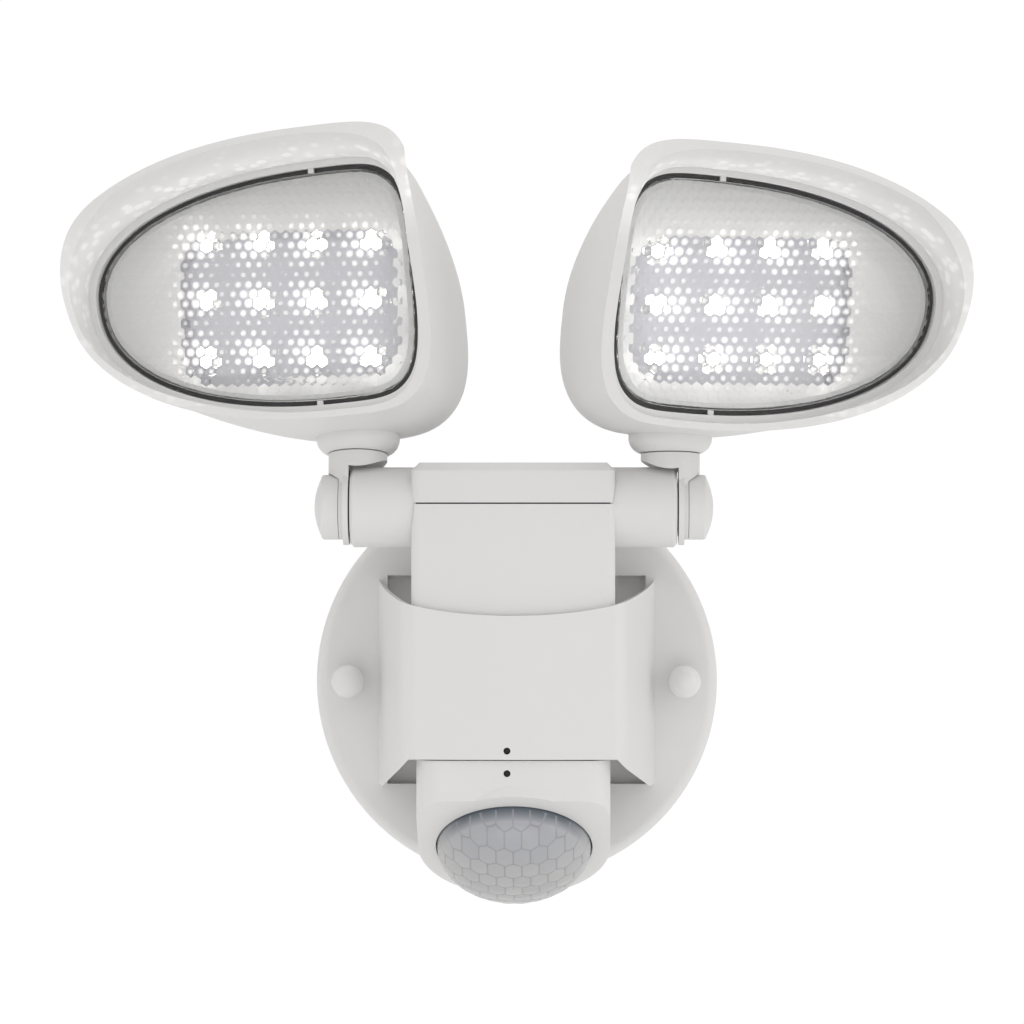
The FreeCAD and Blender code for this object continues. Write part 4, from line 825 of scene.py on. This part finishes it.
def dome_mesh(node):
    """The dome turned about its axis: half an ellipse outside, a flange, and half a smaller ellipse inside. The
    outside carries a stretched honeycomb of low pillows. Its attributes are border, 1 where two cells meet, veil,
    painted shade that grows towards the upper rim, where the dark inside behind shows through, and tone, which varies
    from cell to cell and falls towards the upper rows as painted shade."""
    out = np.array([0, -math.cos(sensor_look), -math.sin(sensor_look)])
    up = np.array([0, -math.sin(sensor_look), math.cos(sensor_look)])
    across_axis = np.array([1.0, 0, 0])
    co = np.array([v.co for v in nodes[node].data.vertices])
    centre = out * ((co @ out).max() - dome_rise)
    centre = centre + up * (co[np.argmax(co @ out)] @ up)
    q = np.linspace(math.radians(1.5), math.pi / 2, dome_steps[0])
    outer = np.stack([dome_radius * np.sin(q), dome_rise * np.cos(q)], -1)
    inner = np.stack([(dome_radius - dome_wall) * np.sin(q), (dome_rise - dome_wall) * np.cos(q)], -1)[::-1]
    flange = np.array([[dome_radius, -flange_back], [dome_radius + dome_flange, -flange_back],
                       [dome_radius + dome_flange, -flange_back - flange_thickness],
                       [dome_radius - dome_wall, -flange_back - flange_thickness]])
    path = np.concatenate([outer, flange, inner])
    turn = np.linspace(0, 2 * np.pi, dome_steps[1] + 1)[None, :-1]
    x = path[:, :1] * np.cos(turn)
    y = path[:, :1] * np.sin(turn)
    rise = (y - top_row) * row_flattening
    nearest, second = hex_distance(x, rise, cell_column, cell_row * row_flattening)
    outside = np.zeros(len(path))[:, None]
    outside[:dome_steps[0] - 4] = 1.0
    border = np.clip(1.5 - (second - nearest) / 2 / border_half, 0, 1) * outside
    h = path[:, 1:] - cell_crown * (nearest / (cell_column / 2)) ** 2 * outside
    # Painted shade: darker towards the upper rim, for the dark inside showing through.
    rim = np.clip((path[:, :1] / dome_radius - rim_shade_from) / (1 - rim_shade_from), 0, 1)
    rim_shade = rim * np.clip(rim_shade_gain * np.sin(turn), 0, 1) ** 2
    row_number = np.round(rise / (cell_row * row_flattening))
    column_number = np.round(x / cell_column - 0.5 * (row_number % 2))
    mixed = np.sin(column_number * 1.9 + row_number * 2.7 + np.sin(column_number * row_number))
    # Painted shade: the upper rows darker, on top of the cells' random variation.
    upper_row_shade = np.clip((y / dome_radius - shaded_rows_from) / (shaded_rows_to - shaded_rows_from), 0, 1)
    tone_and_painted_shade = np.clip(1 - cell_variation + cell_variation * mixed - shaded_rows_depth * upper_row_shade, 0, 1)
    points = centre + x[..., None] * across_axis + y[..., None] * up + h[..., None] * out
    tips = (centre + out * dome_rise, centre + out * (dome_rise - dome_wall))
    mesh = grid_mesh(node + "_celled", points, True, tips)
    for label, field in (("border", border), ("rim_shade", rim_shade), ("tone_and_painted_shade", tone_and_painted_shade)):
        values = np.concatenate([field.reshape(-1), [0, 0]]).astype(np.float32)
        mesh.attributes.new(label, "FLOAT", "POINT").data.foreach_set("value", values)
    outward_faces(mesh)
    return mesh


milky_dome, dome_tree, dome_shader = new_material("milky_polyethylene", (0.56, 0.56, 0.57, 1), 0.16)
dome_shader.inputs["Transmission Weight"].default_value = 0.2
dome_shader.inputs["IOR"].default_value = 1.5
# The base colour carries painted shade: shaded upper rows and a dark upper rim.
toned_and_shaded = layer_colour(dome_tree, "tone_and_painted_shade", shaded_upper_cells, lit_lower_cells)
rim_shaded = layer_colour(dome_tree, "rim_shade", toned_and_shaded, painted_dark_inside)
celled = layer_colour(dome_tree, "border", rim_shaded, cell_border)
dome_tree.links.new(celled, dome_shader.inputs["Base Color"])
dome = add_object("sensor_dome", dome_mesh("sensor_lens"), milky_dome)
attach(dome, "sensor")
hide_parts("sensor_lens")

# ------------------------------------------------------------------ sensor controls and clamp
# Behind the dome a black ring clamps it. On the housing's back are a black range dial and a black time switch.
black_plastic, _, _ = moulded_material("black_plastic", (0.018, 0.018, 0.019, 1), 0.4, drift=0.15,
                                       grain=0.000005, scale=2500.0)
finish_nodes(black_plastic, "lens_clamp", "range_dial", "time_switch")
